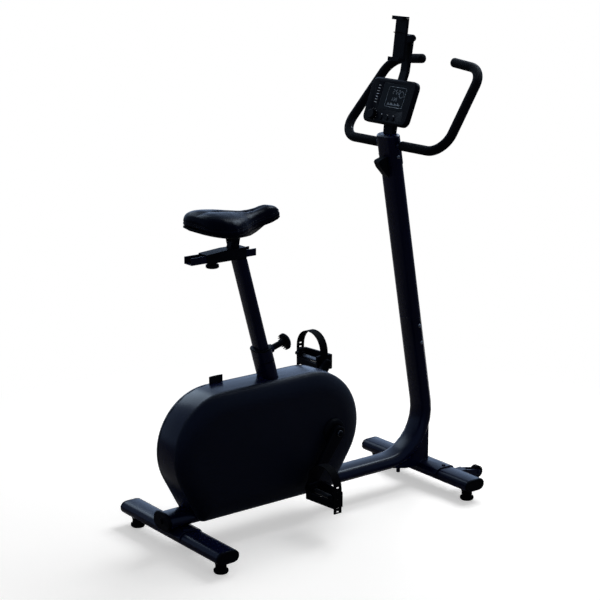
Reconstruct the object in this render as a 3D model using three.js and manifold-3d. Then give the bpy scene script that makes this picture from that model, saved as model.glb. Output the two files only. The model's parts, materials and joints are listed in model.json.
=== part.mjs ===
// Upright exercise bike. Millimetres: +X is the way the rider faces, +Y is the rider's left, +Z is up,
// and z = 0 is the floor. Lengths along X are first measured from the rear stabilizer's centre line.
import * as THREE from "three";
import { mergeVertices } from "three/addons/utils/BufferGeometryUtils.js";
import Module from "manifold-3d";

const wasm = await Module();
wasm.setup();

// ---------------------------------------------------------------- driving dimensions

const clearance = 0.3; // between pieces that touch
const runningGap = 0.4; // round a shaft that turns
const weldSink = 0.5; // how far a welded piece sinks into its neighbour

// Base: two cross stabilizers joined by a low beam
const stabilizerSpacing = 913;
const stabilizerLength = 498;
const stabilizerWidth = 74;
const stabilizerHeight = 36;
const stabilizerWall = 2;
const stabilizerCapDepth = 6;
const capPlugDepth = 16;
const footHeight = 36;
const footRadius = 20.5;
const footWaistRadius = 16;
const footStudRadius = 5;
const footInset = 37; // foot centre from the stabilizer's end

// Main frame: an obround tube that runs forward, turns up and leans back as the mast
const tubeWidth = 80;
const tubeThickness = 38;
const tubeWall = 2.5;
const beamRearX = -44;
const mastFootX = 935; // where the beam's and the mast's centre lines would cross
const bendRadius = 147;
const mastLean = 9.8; // degrees back from vertical
const lowerMastLength = 455;
const upperMastLength = 485;
const mastSpigotDepth = 60;
const saddlePlateThickness = 3.4;
const rearSaddleLength = 136;
const frontSaddleGap = 12; // from the front sleeve's end to the wheel bracket
const saddleBoltReach = 12; // sleeve bolts, in from the front sleeve's ends
const saddleBoltHead = 6;
const jackRadius = 6; // short jack under the web
const jackX = 819;
const jackLowZ = 47;
const gussetWidth = 54;
const gussetFrontGap = 6; // gusset's front edge ahead of the front stabilizer's centre line
const gussetRearDrop = 12;
const beamCapWidth = 84;
const beamCapHeight = 54;
const beamCapDepth = 11;
const capBoltRadius = 8;
const capBoltHeight = 5;

// Transport wheels
const wheelRadius = 19;
const wheelWidth = 20;
const wheelRibs = 16;
const wheelRibDepth = 1.2;
const wheelAxleRadius = 4;
const wheelReach = 105; // wheel centre ahead of the stabilizer's centre line
const wheelDrop = 8; // wheel centre below the stabilizer's centre line
const wheelInset = 109; // wheel centre from the stabilizer's end
const wheelEarThickness = 4;
const wheelEarRadius = 9;
const wheelRootDepth = 14; // root block ahead of the stabilizer's front edge
const wheelRootHalf = 14;
const wheelBoltRadius = 7;

// Housing
const housingCentreX = 288;
const housingCentreZ = 277.5;
const housingHalfSpan = 151; // from the centre to each end arc's centre
const housingRadius = 172;
const housingRearTaper = 28; // degrees from vertical of the lower end walls
const housingFrontTaper = 34;
const housingBottomZ = 81;
const housingCornerRadius = 22;
const housingBandWidth = 82;
const housingHalfDepth = 72;
const housingDomeInset = 62;
const housingWall = 3;
const housingCrown = 1.6;
const hubCoverRadius = 38;
const hubCoverDepth = 12;
const hubCoverSkirt = 4; // below the housing's flat side, before it is trimmed to the dome

// Seat tube, post and its knob
const seatFootX = 414; // where the seat tube's and the beam's centre lines cross
const seatLean = 15.2; // degrees back from vertical
const seatTubeWidth = 72;
const seatTubeThickness = 46;
const seatTubeWall = 2.5;
const seatTubeLength = 458;
const bushingFlange = 4;
const bushingDepth = 70;
const postWidth = 57;
const postThickness = 31;
const postWall = 2;
const postReach = 743.8; // post top, along the seat tube from the beam's centre line
const postLength = 480;
const knobDrop = 15; // knob axis below the seat tube's top
const knobBossRadius = 13;
const knobBossLength = 13;
const knobBarrelRadius = 9;
const knobBarrelLength = 43;
const knobPinRadius = 5;
const knobHeadRadius = 24;
const knobHeadDepth = 14;
const pinHolePitch = 25;
const pinHoleCount = 9;

// Seat rail, slider and saddle
const railRearX = 49;
const railLength = 218;
const railWidth = 36;
const railHeight = 20.5;
const railWall = 3;
const railPadDepth = 3.6; // pad between the post's top and the rail
const railPadWidth = 32;
const sliderRearX = 98;
const sliderLength = 135;
const sliderSkirt = 3; // how far the cover hangs below the rail
const sliderTopThickness = 8;
const sliderSlope = 70; // length of the sloped rear end
const sliderRearRise = 3; // its low end above the rail
const sliderCoverWall = 3;
const sliderKnobX = 130;
const sliderKnobRadius = 18.5;
const sliderKnobDepth = 12;
const sliderKnobNeck = 8;
const sliderBoltRadius = 4;
const sliderForward = 40;
const sliderBack = 50;
const saddlePivotX = 200;
const saddleLugRadius = 11;
const saddleLugWidth = 20;
const saddleLugRise = 13.5; // pivot above the slider's top
const saddleBoltRadius = 4;
const saddleEarThickness = 6;
const saddleRearX = 76;
const saddleLength = 278;
const saddleHalfWidth = 110;
const saddleSeamRise = 37.5; // seam above the pivot, at the saddle's middle
const saddleTailRise = 14;
const saddleNoseRise = 22;
const saddlePadHeight = 47;
const saddleShellDepth = 18;

// Drive
const crankX = 503;
const crankZ = 266;
const crankLength = 180.5;
const crankAngle = 234.5; // degrees of the right arm, from straight ahead, turning up
const crankInnerY = 86;
const crankThickness = 15;
const crankEndWall = 7; // metal outside the axle's end, under its bolt
const crankBossRadius = 21;
const crankTipRadius = 14;
const crankAxleRadius = 10;
const crankBoltRadius = 5;
const bracketRadius = 23;
const bracketLength = 68;
const strutHalf = 16;
const strutFront = 8; // upright strut's front face ahead of the crank's axis
const bearingWall = 4;
const pulleyRadius = 80;
const pulleyWidth = 14;
const pulleyY = 50;
const pulleyHubRadius = 26;
const pulleyRimDepth = 9;
const pulleyWebThickness = 8;
const pulleyHoles = 5;
const pulleyHoleRadius = 13;
const beltWidth = 10;
const beltThickness = 3;
const beltGap = 0.9; // the belt runs a little clear of both pulleys
const flywheelRadius = 135;
const flywheelRimWidth = 24;
const flywheelRimDepth = 26;
const flywheelWebThickness = 8;
const flywheelHubRadius = 20;
const flywheelShaftRadius = 8;
const flywheelPulleyRadius = 20;
const flywheelPlateY = 26;
const flywheelPlateThickness = 5;
const magnetGap = 2.5;
const magnetThickness = 10;
const magnetPivotAngle = 60;
const magnetSweep = 58;
const magnetPivotReach = 8; // pivot outside the shoe
const magnetPinRadius = 4;
const magnetBossRadius = 10;
const magnetOverhang = 6; // shoe beyond each face of the rim
const wheelPlateHalf = 50; // foot of the flywheel's plates
const wheelPlateRadius = 20;
const wheelPlateBase = 4;

// Pedals
const pedalWidth = 114;
const pedalHeight = 47;
const pedalTop = 22; // above the spindle
const pedalInnerRear = 25; // reach of the inner end behind the spindle, and so on
const pedalInnerFront = 33;
const pedalOuterRear = 14;
const pedalOuterFront = 20;
const pedalWall = 8;
const pedalRearTop = 3; // rear wall's top below the spindle
const pedalBevel = 2;
const pedalBossRadius = 12.5;
const pedalBossLength = 15;
const pedalGap = 7; // between the crank arm and the pedal body
const pedalPegRadius = 6;
const pedalPegLength = 14;
const pedalPegRise = 9;
const spindleRadius = 7;
const strapWidth = 28;
const strapThickness = 2.6;
const strapRise = 88;
const strapTail = 40; // free end below the spindle
const strapCornerRadius = 56;
const strapHolePitch = 12;
const strapHoleCount = 7;
const strapHoleLength = 9;
const strapHoleWidth = 4;

// Handlebar and its clamp
const barRadius = 12.7;
const barWall = 2;
const barHalfWidth = 229.7;
const barTopHalfWidth = 199.4;
const barReach = 282.5;
const barTipY = 75;
const barTipRise = 12.2;
const barLowerBend = 60.9;
const barUpperBend = 63.4;
const barTilt = 38.4; // degrees of the handlebar's plane forward from vertical
const gripRadius = 14.2;
const gripStartY = 52;
const barRise = 59; // bar axis above the mast's top end
const barAhead = 3.6; // bar axis ahead of the mast's centre line
const clampWidth = 84;
const clampDepth = 42;
const clampRise = 31;
const clampEdge = 4;
const clampSlit = 3;
const leverDrop = 44;
const leverHubRadius = 12.5;
const leverWidth = 26;
const leverTop = 13; // above the lever's screw
const leverLength = 50; // below the lever's screw
const leverThickness = 32;
const leverStandOff = 3;
const leverScrewRadius = 4;

// Console
const consoleWidth = 198;
const consoleHeight = 136;
const consoleDepth = 20;
const consoleCorner = 20;
const consoleTilt = 31.2; // degrees from the mast's line
const consoleBack = -17; // face's lower edge ahead of the mast's centre line
const consoleGap = 67; // face's lower edge above the bar's axis, along the mast
const consoleBracketWidth = 44;
const lensWidth = 112;
const lensHeight = 80;
const lensThickness = 3;
const lensY = -14;
const lensRise = 82;
const dialRadius = 15;
const dialHeight = 10;
const dialY = 55;
const dialRise = 22;
const keyRadius = 6;
const keyTravel = 1.5;
const keyProud = 2.2;
const keyDepth = 6;
const keyRise = 17;
const keySpacing = 26;
const keyMiddleY = -12;

// Tablet holder
const holderArmWidth = 30;
const holderArmThickness = 12;
const holderHingeAhead = 101; // hinge ahead of the console face's lower edge
const holderHingeRise = 242; // hinge above the same edge
const holderHingeRadius = 11;
const holderPlateBack = 46; // plate's face behind the hinge
const holderPlateDrop = 59; // plate's lower edge below the hinge
const holderPlateHeight = 119;
const holderPlateWidth = 48;
const holderPlateThickness = 9;
const holderTongueDepth = 45;
const holderTongueMargin = 9;
const holderLean = 7; // degrees back from vertical
const holderTongueThickness = 3;
const holderPinRadius = 3;
const holderEarRadius = 8;
const holderEarThickness = 5;
const holderJawReach = 17;
const holderJawThickness = 5;

// ---------------------------------------------------------------- values worked out from them

const stabilizerZ = footHeight + clearance + stabilizerHeight / 2;
const saddlePlateZ = stabilizerZ + stabilizerHeight / 2 + clearance + saddlePlateThickness;
const beamZ = saddlePlateZ - weldSink + tubeThickness / 2;
const beamTopZ = beamZ + tubeThickness / 2;
const flywheelX = housingCentreX - housingHalfSpan;
const flywheelZ = housingCentreZ;
const wheelOffset = stabilizerLength / 2 - wheelInset;
const wheelEarY = wheelWidth / 2 + 1;
const wheelOuterY = wheelEarY + wheelEarThickness;
const frontSaddleLength = 2 * (wheelOffset - wheelOuterY - frontSaddleGap);
const barHeight = lowerMastLength + upperMastLength + barRise;
const consoleRise = barHeight + consoleGap;
const crankOuterY = crankInnerY + crankThickness;
const pedalInnerY = crankOuterY + pedalGap;
const pedalCentreY = pedalInnerY + pedalWidth / 2;
const knobHeight = seatTubeLength - knobDrop;
const foremostX = stabilizerSpacing + wheelReach + wheelRadius;
const rearmostX = beamRearX - clearance - beamCapDepth - capBoltHeight;

// ---------------------------------------------------------------- materials

const paintedSteel = () => new THREE.MeshStandardMaterial(
  { color: 0x1b1f29, roughness: 0.45, metalness: 0.6 },
);
const bareSteel = () => new THREE.MeshStandardMaterial({ color: 0x8d9096, roughness: 0.35, metalness: 1 });
const castIron = () => new THREE.MeshStandardMaterial({ color: 0x3a3c40, roughness: 0.6, metalness: 0.9 });
const satinPlastic = () => new THREE.MeshStandardMaterial({ color: 0x14161c, roughness: 0.42, metalness: 0 });
const mattePlastic = () => new THREE.MeshStandardMaterial({ color: 0x0c0d10, roughness: 0.7, metalness: 0 });
const rubber = () => new THREE.MeshStandardMaterial({ color: 0x0a0a0b, roughness: 0.9, metalness: 0 });
const vinyl = () => new THREE.MeshStandardMaterial({ color: 0x0b0c10, roughness: 0.35, metalness: 0 });
const foam = () => new THREE.MeshStandardMaterial({ color: 0x0b0b0d, roughness: 0.85, metalness: 0 });
const displayPlastic = () => new THREE.MeshStandardMaterial(
  { color: 0x1c2a2e, roughness: 0.15, metalness: 0 },
);

// ---------------------------------------------------------------- geometry helpers

const rad = THREE.MathUtils.degToRad;
const at = (x, y, z) => new THREE.Vector3(x, y, z);
const axisX = at(1, 0, 0);
const axisY = at(0, 1, 0);

// Points on an arc in a plane, from one angle to another in degrees, both ends included.
function arc(x, y, radius, from, to, steps) {
  return Array.from({ length: steps + 1 }, (_, i) => {
    const angle = rad(from + ((to - from) * i) / steps);
    return new THREE.Vector2(x + radius * Math.cos(angle), y + radius * Math.sin(angle));
  });
}

// A tube section with two flat sides and two half-round ones; its long side lies along the first axis.
function obround(width, height, steps = 6) {
  const radius = height / 2;
  const reach = width / 2 - radius;
  return [...arc(reach, 0, radius, -90, 90, steps), ...arc(-reach, 0, radius, 90, 270, steps)];
}

function roundedRectangle(width, height, radius, steps = 4) {
  const x = width / 2 - radius;
  const y = height / 2 - radius;
  return [
    ...arc(x, y, radius, 0, 90, steps),
    ...arc(-x, y, radius, 90, 180, steps),
    ...arc(-x, -y, radius, 180, 270, steps),
    ...arc(x, -y, radius, 270, 360, steps),
  ];
}

// The outline round two circles whose centres lie on the first axis, at 0 and at `reach`.
function taperedArm(radiusA, radiusB, reach, steps = 7) {
  const turn = THREE.MathUtils.radToDeg(Math.acos((radiusA - radiusB) / reach));
  return [...arc(0, 0, radiusA, turn, 360 - turn, steps), ...arc(reach, 0, radiusB, -turn, turn, steps)];
}

// Points along a path of straight lines whose corners are rounded.
function bentPath(corners, radii, steps = 6) {
  const points = [corners[0].clone()];
  for (let i = 1; i < corners.length - 1; i++) {
    const radius = Array.isArray(radii) ? radii[i - 1] : radii;
    const back = corners[i - 1].clone().sub(corners[i]).normalize();
    const on = corners[i + 1].clone().sub(corners[i]).normalize();
    const half = back.angleTo(on) / 2;
    const centre = corners[i].clone().addScaledVector(
      back.clone().add(on).normalize(),
      radius / Math.sin(half),
    );
    const start = corners[i].clone().addScaledVector(back, radius / Math.tan(half)).sub(centre);
    const end = corners[i].clone().addScaledVector(on, radius / Math.tan(half)).sub(centre);
    const sweepAngle = Math.PI - 2 * half;
    for (let k = 0; k <= steps; k++) {
      const a = Math.sin((1 - k / steps) * sweepAngle) / Math.sin(sweepAngle);
      const b = Math.sin((k / steps) * sweepAngle) / Math.sin(sweepAngle);
      points.push(centre.clone().addScaledVector(start, a).addScaledVector(end, b));
    }
  }
  points.push(corners[corners.length - 1].clone());
  return points;
}

// One ring of points for each point of the path: the section's first axis lies along `side`.
function ringsAlong(path, side, section) {
  return path.map((point, i) => {
    const before = path[Math.max(i - 1, 0)];
    const after = path[Math.min(i + 1, path.length - 1)];
    const up = after.clone().sub(before).normalize().cross(side);
    const outline = Array.isArray(section[0]) ? section[i] : section;
    return outline.map((p) => point.clone().addScaledVector(side, p.x).addScaledVector(up, p.y));
  });
}

function capTriangles(ring, first, keepOrder) {
  const normal = at(0, 0, 0);
  ring.forEach((p, i) => normal.add(p.clone().cross(ring[(i + 1) % ring.length])));
  normal.normalize();
  const u = ring[1].clone().sub(ring[0]).projectOnPlane(normal).normalize();
  const v = normal.clone().cross(u);
  const flat = ring.map((p) => new THREE.Vector2(p.dot(u), p.dot(v)));
  return THREE.ShapeUtils.triangulateShape(flat, []).flatMap(([a, b, c]) => {
    const turn = flat[b].clone().sub(flat[a]).cross(flat[c].clone().sub(flat[a]));
    const inOrder = turn > 0 === keepOrder;
    return inOrder ? [first + a, first + b, first + c] : [first + a, first + c, first + b];
  });
}

// A closed skin over rings of equal length. With `loop`, the last ring joins the first one.
function skin(rings, loop = false) {
  const n = rings[0].length;
  const index = [];
  for (let k = 0; k < rings.length - (loop ? 0 : 1); k++) {
    for (let i = 0; i < n; i++) {
      const next = (i + 1) % n;
      const above = ((k + 1) % rings.length) * n;
      index.push(k * n + i, k * n + next, above + next, k * n + i, above + next, above + i);
    }
  }
  if (!loop) {
    index.push(...capTriangles(rings[0], 0, false));
    index.push(...capTriangles(rings[rings.length - 1], (rings.length - 1) * n, true));
  }
  const geometry = new THREE.BufferGeometry().setFromPoints(rings.flat());
  geometry.setIndex(index);
  return facingOut(geometry);
}

function facingOut(geometry) {
  const p = geometry.getAttribute("position");
  const index = geometry.getIndex().array;
  const corner = (i) => new THREE.Vector3().fromBufferAttribute(p, index[i]);
  let volume = 0;
  for (let i = 0; i < index.length; i += 3) {
    volume += corner(i).dot(corner(i + 1).cross(corner(i + 2)));
  }
  if (volume < 0) geometry.setIndex([...index].reverse());
  return geometry;
}

const sweep = (path, side, section) => skin(ringsAlong(path, side, section));
const hollowSweep = (path, side, outer, inner) =>
  skin([...ringsAlong(path, side, outer), ...ringsAlong(path, side, inner).reverse()], true);

// A side profile, first axis forward and second axis up, extruded across the bike about `middle`.
function across(profile, width, middle = 0, holes = [], bevel = 0) {
  const shape = new THREE.Shape(profile);
  shape.holes = holes.map((hole) => new THREE.Path(hole));
  const options = { depth: width - 2 * bevel, bevelEnabled: bevel > 0, curveSegments: 8 };
  Object.assign(options, { bevelSize: bevel, bevelOffset: -bevel, bevelThickness: bevel, bevelSegments: 1 });
  return new THREE.ExtrudeGeometry(shape, options).rotateX(Math.PI / 2).translate(
    0,
    middle + width / 2 - bevel,
    0,
  );
}

// An outline, first axis across and second axis up, extruded forward from x = 0.
function forward(outline, depth, bevel = 0, holes = []) {
  const shape = new THREE.Shape(outline);
  shape.holes = holes.map((hole) => new THREE.Path(hole));
  const options = { depth: depth - 2 * bevel, bevelEnabled: bevel > 0 };
  Object.assign(options, { bevelSize: bevel, bevelOffset: -bevel, bevelThickness: bevel, bevelSegments: 1 });
  const raised = new THREE.ExtrudeGeometry(shape, options);
  return raised.rotateX(Math.PI / 2).rotateZ(Math.PI / 2).translate(bevel, 0, 0);
}

// A turned piece about the vertical axis, from [radius, height] pairs.
function turned(profile, segments = 24) {
  const points = profile.map(([radius, height]) => new THREE.Vector2(radius, height));
  return new THREE.LatheGeometry(points, segments).rotateX(Math.PI / 2);
}
const turnedAcross = (profile, segments = 24) => turned(profile, segments).rotateX(-Math.PI / 2);
const turnedForward = (profile, segments = 24) => turned(profile, segments).rotateY(Math.PI / 2);

const rod = (radius, from, to) => [
  [0, from],
  [radius, from],
  [radius, to],
  [0, to],
];

function toSolid(geometry) {
  const bare = new THREE.BufferGeometry().setAttribute("position", geometry.getAttribute("position"));
  if (geometry.getIndex()) bare.setIndex(geometry.getIndex());
  const merged = mergeVertices(bare, 1e-3);
  const index = merged.getIndex().array;
  const triVerts = [];
  for (let i = 0; i < index.length; i += 3) {
    const [a, b, c] = index.slice(i, i + 3);
    if (a !== b && b !== c && c !== a) triVerts.push(a, b, c);
  }
  return new wasm.Manifold(
    new wasm.Mesh({
      numProp: 3,
      vertProperties: new Float32Array(merged.getAttribute("position").array),
      triVerts: new Uint32Array(triVerts),
    }),
  );
}

function toGeometry(solid) {
  const mesh = solid.getMesh();
  const geometry = new THREE.BufferGeometry();
  geometry.setAttribute("position", new THREE.BufferAttribute(mesh.vertProperties, 3));
  return geometry.setIndex(new THREE.BufferAttribute(mesh.triVerts, 1));
}

// The same piece for the bike's other side.
function mirrored(geometry) {
  geometry.applyMatrix4(new THREE.Matrix4().makeScale(1, -1, 1));
  return geometry.setIndex([...geometry.getIndex().array].reverse());
}
const handed = (sign, geometry) => (sign < 0 ? mirrored(geometry) : geometry);

const join = (first, ...others) => toGeometry(others.reduce((all, g) => all.add(toSolid(g)), toSolid(first)));
const cut = (first, ...tools) => toGeometry(
  tools.reduce((rest, g) => rest.subtract(toSolid(g)), toSolid(first)),
);

function box(x0, x1, y0, y1, z0, z1) {
  return new THREE.BoxGeometry(x1 - x0, y1 - y0, z1 - z0).translate(
    (x0 + x1) / 2,
    (y0 + y1) / 2,
    (z0 + z1) / 2,
  );
}

// ---------------------------------------------------------------- scene graph

const bike = new THREE.Group();
bike.position.x = -(rearmostX + foremostX) / 2;

function group(parent, x, y, z, turnDown = 0) {
  const made = new THREE.Group();
  made.position.set(x, y, z);
  made.rotation.y = rad(turnDown);
  parent.add(made);
  return made;
}

function add(parent, name, geometry, material) {
  const mesh = new THREE.Mesh(toGeometry(toSolid(geometry)), material);
  mesh.name = name;
  parent.add(mesh);
  return mesh;
}

const sides = [
  ["right", -1],
  ["left", 1],
];

const mast = group(bike, mastFootX, 0, beamZ, -mastLean); // its Z runs up the mast
const seat = group(bike, seatFootX, 0, beamZ, -seatLean); // its Z runs up the seat tube
seat.updateMatrix();

// ---------------------------------------------------------------- base

// The half sleeve that a beam's welded saddle puts over a stabilizer, as a solid to join.
function saddlePlate(x, length) {
  const margin = 2 * (clearance + saddlePlateThickness);
  const outline = obround(stabilizerWidth + margin, stabilizerHeight + margin, 5);
  const whole = across(outline, length).translate(x, 0, stabilizerZ);
  const reach = stabilizerWidth + margin;
  return cut(
    whole,
    box(x - reach, x + reach, -length, length, stabilizerZ - margin - stabilizerHeight, stabilizerZ),
  );
}

function stabilizerSpace(x) {
  const section = obround(stabilizerWidth + 2 * clearance, stabilizerHeight + 2 * clearance, 5);
  return across(section, stabilizerLength).translate(x, 0, stabilizerZ);
}

function stabilizerTube() {
  const length = stabilizerLength - 2 * (stabilizerCapDepth + clearance);
  const outer = obround(stabilizerWidth, stabilizerHeight, 5);
  const inner = obround(stabilizerWidth - 2 * stabilizerWall, stabilizerHeight - 2 * stabilizerWall, 5);
  const tube = across(outer, length, 0, [inner]);
  const studHole = turned(rod(footStudRadius + clearance, -stabilizerHeight, 0), 16);
  const footY = stabilizerLength / 2 - footInset;
  return cut(tube, studHole.clone().translate(0, footY, 0), studHole.translate(0, -footY, 0));
}

// Drawn for the left end, its plug pointing back into the tube; the right end turns it round.
function stabilizerCap() {
  const inset = 2 * (stabilizerWall + clearance);
  const face = obround(stabilizerWidth, stabilizerHeight, 5);
  const plate = across(face, stabilizerCapDepth, stabilizerCapDepth / 2, [], 1.5);
  const recess = obround(stabilizerWidth - 12, stabilizerHeight - 12, 5);
  const plug = obround(stabilizerWidth - inset, stabilizerHeight - inset, 5);
  const pocket = across(recess, 3, stabilizerCapDepth);
  return join(cut(plate, pocket), across(plug, capPlugDepth, 1 - capPlugDepth / 2));
}

// Rubber foot: a flared pad, a waist, and a stud up into the stabilizer.
function foot() {
  return turned(
    [
      [0, 0],
      [footRadius - 2, 0],
      [footRadius, 4],
      [footWaistRadius, 13],
      [footWaistRadius, footHeight - 12],
      [footWaistRadius + 2, footHeight - 6],
      [footWaistRadius + 2, footHeight],
      [footStudRadius, footHeight],
      [footStudRadius, footHeight + 12],
      [0, footHeight + 12],
    ],
    16,
  );
}

function buildBase() {
  const capY = stabilizerLength / 2 - stabilizerCapDepth;
  for (const [end, x] of [["rear", 0], ["front", stabilizerSpacing]]) {
    const stand = group(bike, x, 0, stabilizerZ);
    add(stand, `${end}_stabilizer`, stabilizerTube(), paintedSteel());
    for (const [side, sign] of sides) {
      const cap = add(stand, `${end}_stabilizer_cap_${side}`, stabilizerCap(), mattePlastic());
      cap.position.y = sign * capY;
      if (sign < 0) cap.rotation.z = Math.PI;
      const footing = add(bike, `${end}_foot_${side}`, foot(), rubber());
      footing.position.set(x, sign * (stabilizerLength / 2 - footInset), 0);
    }
  }
}

// ---------------------------------------------------------------- main frame

function mastPoint(height) {
  const lean = rad(mastLean);
  return at(mastFootX - height * Math.sin(lean), 0, beamZ + height * Math.cos(lean));
}

const tubeSection = (inset) => obround(tubeWidth - 2 * inset, tubeThickness - 2 * inset, 5);

function mainFrame() {
  const corners = [at(beamRearX, 0, beamZ), at(mastFootX, 0, beamZ), mastPoint(lowerMastLength)];
  const tube = hollowSweep(bentPath(corners, bendRadius, 9), axisY, tubeSection(0), tubeSection(tubeWall));
  return cut(join(tube, saddlePlate(0, rearSaddleLength)), stabilizerSpace(0));
}

// Web under the bend and the saddle that carries the frame on the front stabilizer.
function frontMount() {
  const bendX = mastFootX - bendRadius * Math.tan(rad((90 + mastLean) / 2));
  const bendZ = beamZ + bendRadius;
  const radius = bendRadius + tubeThickness / 2 + clearance;
  const frontX = stabilizerSpacing + gussetFrontGap;
  const frontTurn = THREE.MathUtils.radToDeg(Math.acos((frontX - bendX) / radius));
  const lowZ = saddlePlateZ - gussetRearDrop;
  const rearX = stabilizerSpacing - stabilizerWidth;
  const profile = [
    new THREE.Vector2(frontX, lowZ),
    ...arc(bendX, bendZ, radius, -frontTurn, -85, 10),
    new THREE.Vector2(rearX - 8, lowZ),
  ];
  const web = across(profile, gussetWidth);
  const jack = turned(rod(jackRadius, jackLowZ, lowZ + 4), 12).translate(jackX, 0, 0);
  const boltY = frontSaddleLength / 2 - saddleBoltReach;
  const bolts = [-1, 1].map((sign) => {
    const head = turned(rod(saddleBoltHead, -1, 4), 6);
    return head.translate(stabilizerSpacing + 4, sign * boltY, saddlePlateZ);
  });
  const whole = join(web, jack, saddlePlate(stabilizerSpacing, frontSaddleLength), ...bolts);
  return cut(whole, stabilizerSpace(stabilizerSpacing));
}

function beamCap() {
  const inset = tubeWall + clearance;
  const outline = obround(beamCapWidth, beamCapHeight, 6);
  const plate = forward(outline, beamCapDepth, 3);
  const plug = forward(tubeSection(inset), capPlugDepth + 2).translate(beamCapDepth - 2, 0, 0);
  const head = turnedForward(rod(capBoltRadius, -capBoltHeight, 2), 12);
  return join(plate, plug, head);
}

// Upper mast with the spigot that stands in the lower one.
function upperMast() {
  const line = (from, to) => [at(0, 0, from), at(0, 0, to)];
  const bottom = lowerMastLength + clearance;
  const tube = hollowSweep(
    line(bottom, lowerMastLength + upperMastLength),
    axisY,
    tubeSection(0),
    tubeSection(tubeWall),
  );
  const root = sweep(line(bottom, bottom + 15), axisY, tubeSection(tubeWall - weldSink));
  const spigot = sweep(line(bottom - mastSpigotDepth, bottom + 15), axisY, tubeSection(tubeWall + clearance));
  const bore = sweep(
    line(0, upperMastLength + lowerMastLength),
    axisY,
    tubeSection(2 * tubeWall + clearance),
  );
  return cut(join(tube, root, spigot), bore);
}

function buildFrame() {
  add(bike, "main_frame", mainFrame(), paintedSteel());
  add(bike, "front_mount", frontMount(), paintedSteel());
  const cap = add(bike, "beam_end_cap", beamCap(), mattePlastic());
  cap.position.set(beamRearX - clearance - beamCapDepth, 0, beamZ);
  add(mast, "upper_mast", upperMast(), paintedSteel());
}

// ---------------------------------------------------------------- transport wheels

function transportWheel() {
  const points = [];
  for (let i = 0; i < wheelRibs; i++) {
    const start = (360 / wheelRibs) * i;
    points.push(...arc(0, 0, wheelRadius, start, start + 200 / wheelRibs, 1));
    points.push(
      ...arc(0, 0, wheelRadius - wheelRibDepth, start + 230 / wheelRibs, start + 330 / wheelRibs, 1),
    );
  }
  const bore = arc(0, 0, wheelAxleRadius + runningGap, 0, 337.5, 15);
  return across(points, wheelWidth, 0, [bore]);
}

// Root block on the stabilizer's front edge, two ears and the axle between them, about the wheel's centre.
function wheelBracket() {
  const edgeX = stabilizerWidth / 2 - wheelReach;
  const rootX = edgeX + wheelRootDepth;
  const block = box(
    edgeX - wheelRootHalf,
    rootX,
    -wheelOuterY,
    wheelOuterY,
    wheelDrop - wheelRootHalf,
    wheelDrop + wheelRootHalf,
  );
  const ear = across(taperedArm(wheelEarRadius, wheelEarRadius + 3, 4 - rootX), 2 * wheelOuterY);
  ear.rotateY(Math.PI + Math.atan2(wheelDrop, -rootX));
  const tube = across(
    obround(stabilizerWidth + 2 * clearance, stabilizerHeight + 2 * clearance, 5),
    4 * wheelOuterY,
  );
  tube.translate(-wheelReach, 0, wheelDrop);
  const between = box(rootX, 2 * wheelRadius, -wheelEarY, wheelEarY, -2 * wheelRadius, 2 * wheelRadius);
  const axle = turnedAcross(
    [
      [0, -wheelOuterY - 3],
      [wheelBoltRadius, -wheelOuterY - 3],
      [wheelBoltRadius, -wheelOuterY + weldSink],
      [wheelAxleRadius, -wheelOuterY + weldSink],
      [wheelAxleRadius, wheelOuterY - weldSink],
      [wheelBoltRadius, wheelOuterY - weldSink],
      [wheelBoltRadius, wheelOuterY + 3],
      [0, wheelOuterY + 3],
    ],
    16,
  );
  return join(cut(join(ear, block), between, tube), axle);
}

function buildWheels() {
  for (const [side, sign] of sides) {
    const place = group(bike, stabilizerSpacing + wheelReach, sign * wheelOffset, stabilizerZ - wheelDrop);
    add(place, `wheel_bracket_${side}`, wheelBracket(), paintedSteel());
    add(place, `transport_wheel_${side}`, transportWheel(), rubber());
  }
}

// ---------------------------------------------------------------- housing

// The housing's side outline, drawn in by `inset`, from the lower rear corner round over the top.
function housingOutline(inset) {
  const reach = Math.max(housingCornerRadius, inset + 1);
  const cornerZ = housingBottomZ + reach;
  const small = reach - inset;
  const big = housingRadius - inset;
  const cornerX = (taper) => {
    const drop = (cornerZ - housingCentreZ) * Math.sin(rad(taper));
    return housingHalfSpan + (housingRadius - reach + drop) / Math.cos(rad(taper));
  };
  const front = housingFrontTaper;
  const rear = housingRearTaper;
  return [
    ...arc(housingCentreX + cornerX(front), cornerZ, small, -90, -front, 3),
    ...arc(housingCentreX + housingHalfSpan, housingCentreZ, big, -front, 90, 9),
    ...arc(housingCentreX - housingHalfSpan, housingCentreZ, big, 90, 180 + rear, 9),
    ...arc(housingCentreX - cornerX(rear), cornerZ, small, 180 + rear, 270, 3),
  ];
}

const housingRing = (inset, y) => housingOutline(inset).map((p) => at(p.x, y, p.y));

// Rings of the dome from the rim at the centre band to the flat side, drawn in by the wall.
function domeRings(wall) {
  const rimY = housingBandWidth / 2 + clearance;
  const rise = housingHalfDepth - rimY;
  const steps = 4;
  return Array.from({ length: steps + 1 }, (_, i) => {
    const turn = (Math.PI / 2) * (i / steps);
    const inset = housingDomeInset * (1 - Math.cos(turn)) + wall;
    const y = i === 0 ? rimY : rimY + (rise - wall) * Math.sin(turn);
    return housingRing(inset, y);
  });
}

// One moulded side shell: a dish whose rim meets the centre band and whose edge domes into a flat side.
function housingShell() {
  const shell = skin([...domeRings(housingWall).reverse(), ...domeRings(0)]);
  const hole = turnedAcross(rod(crankAxleRadius + 4, 0, 2 * housingHalfDepth), 16);
  hole.translate(crankX, 0, crankZ);
  return cut(shell, hole);
}

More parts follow.
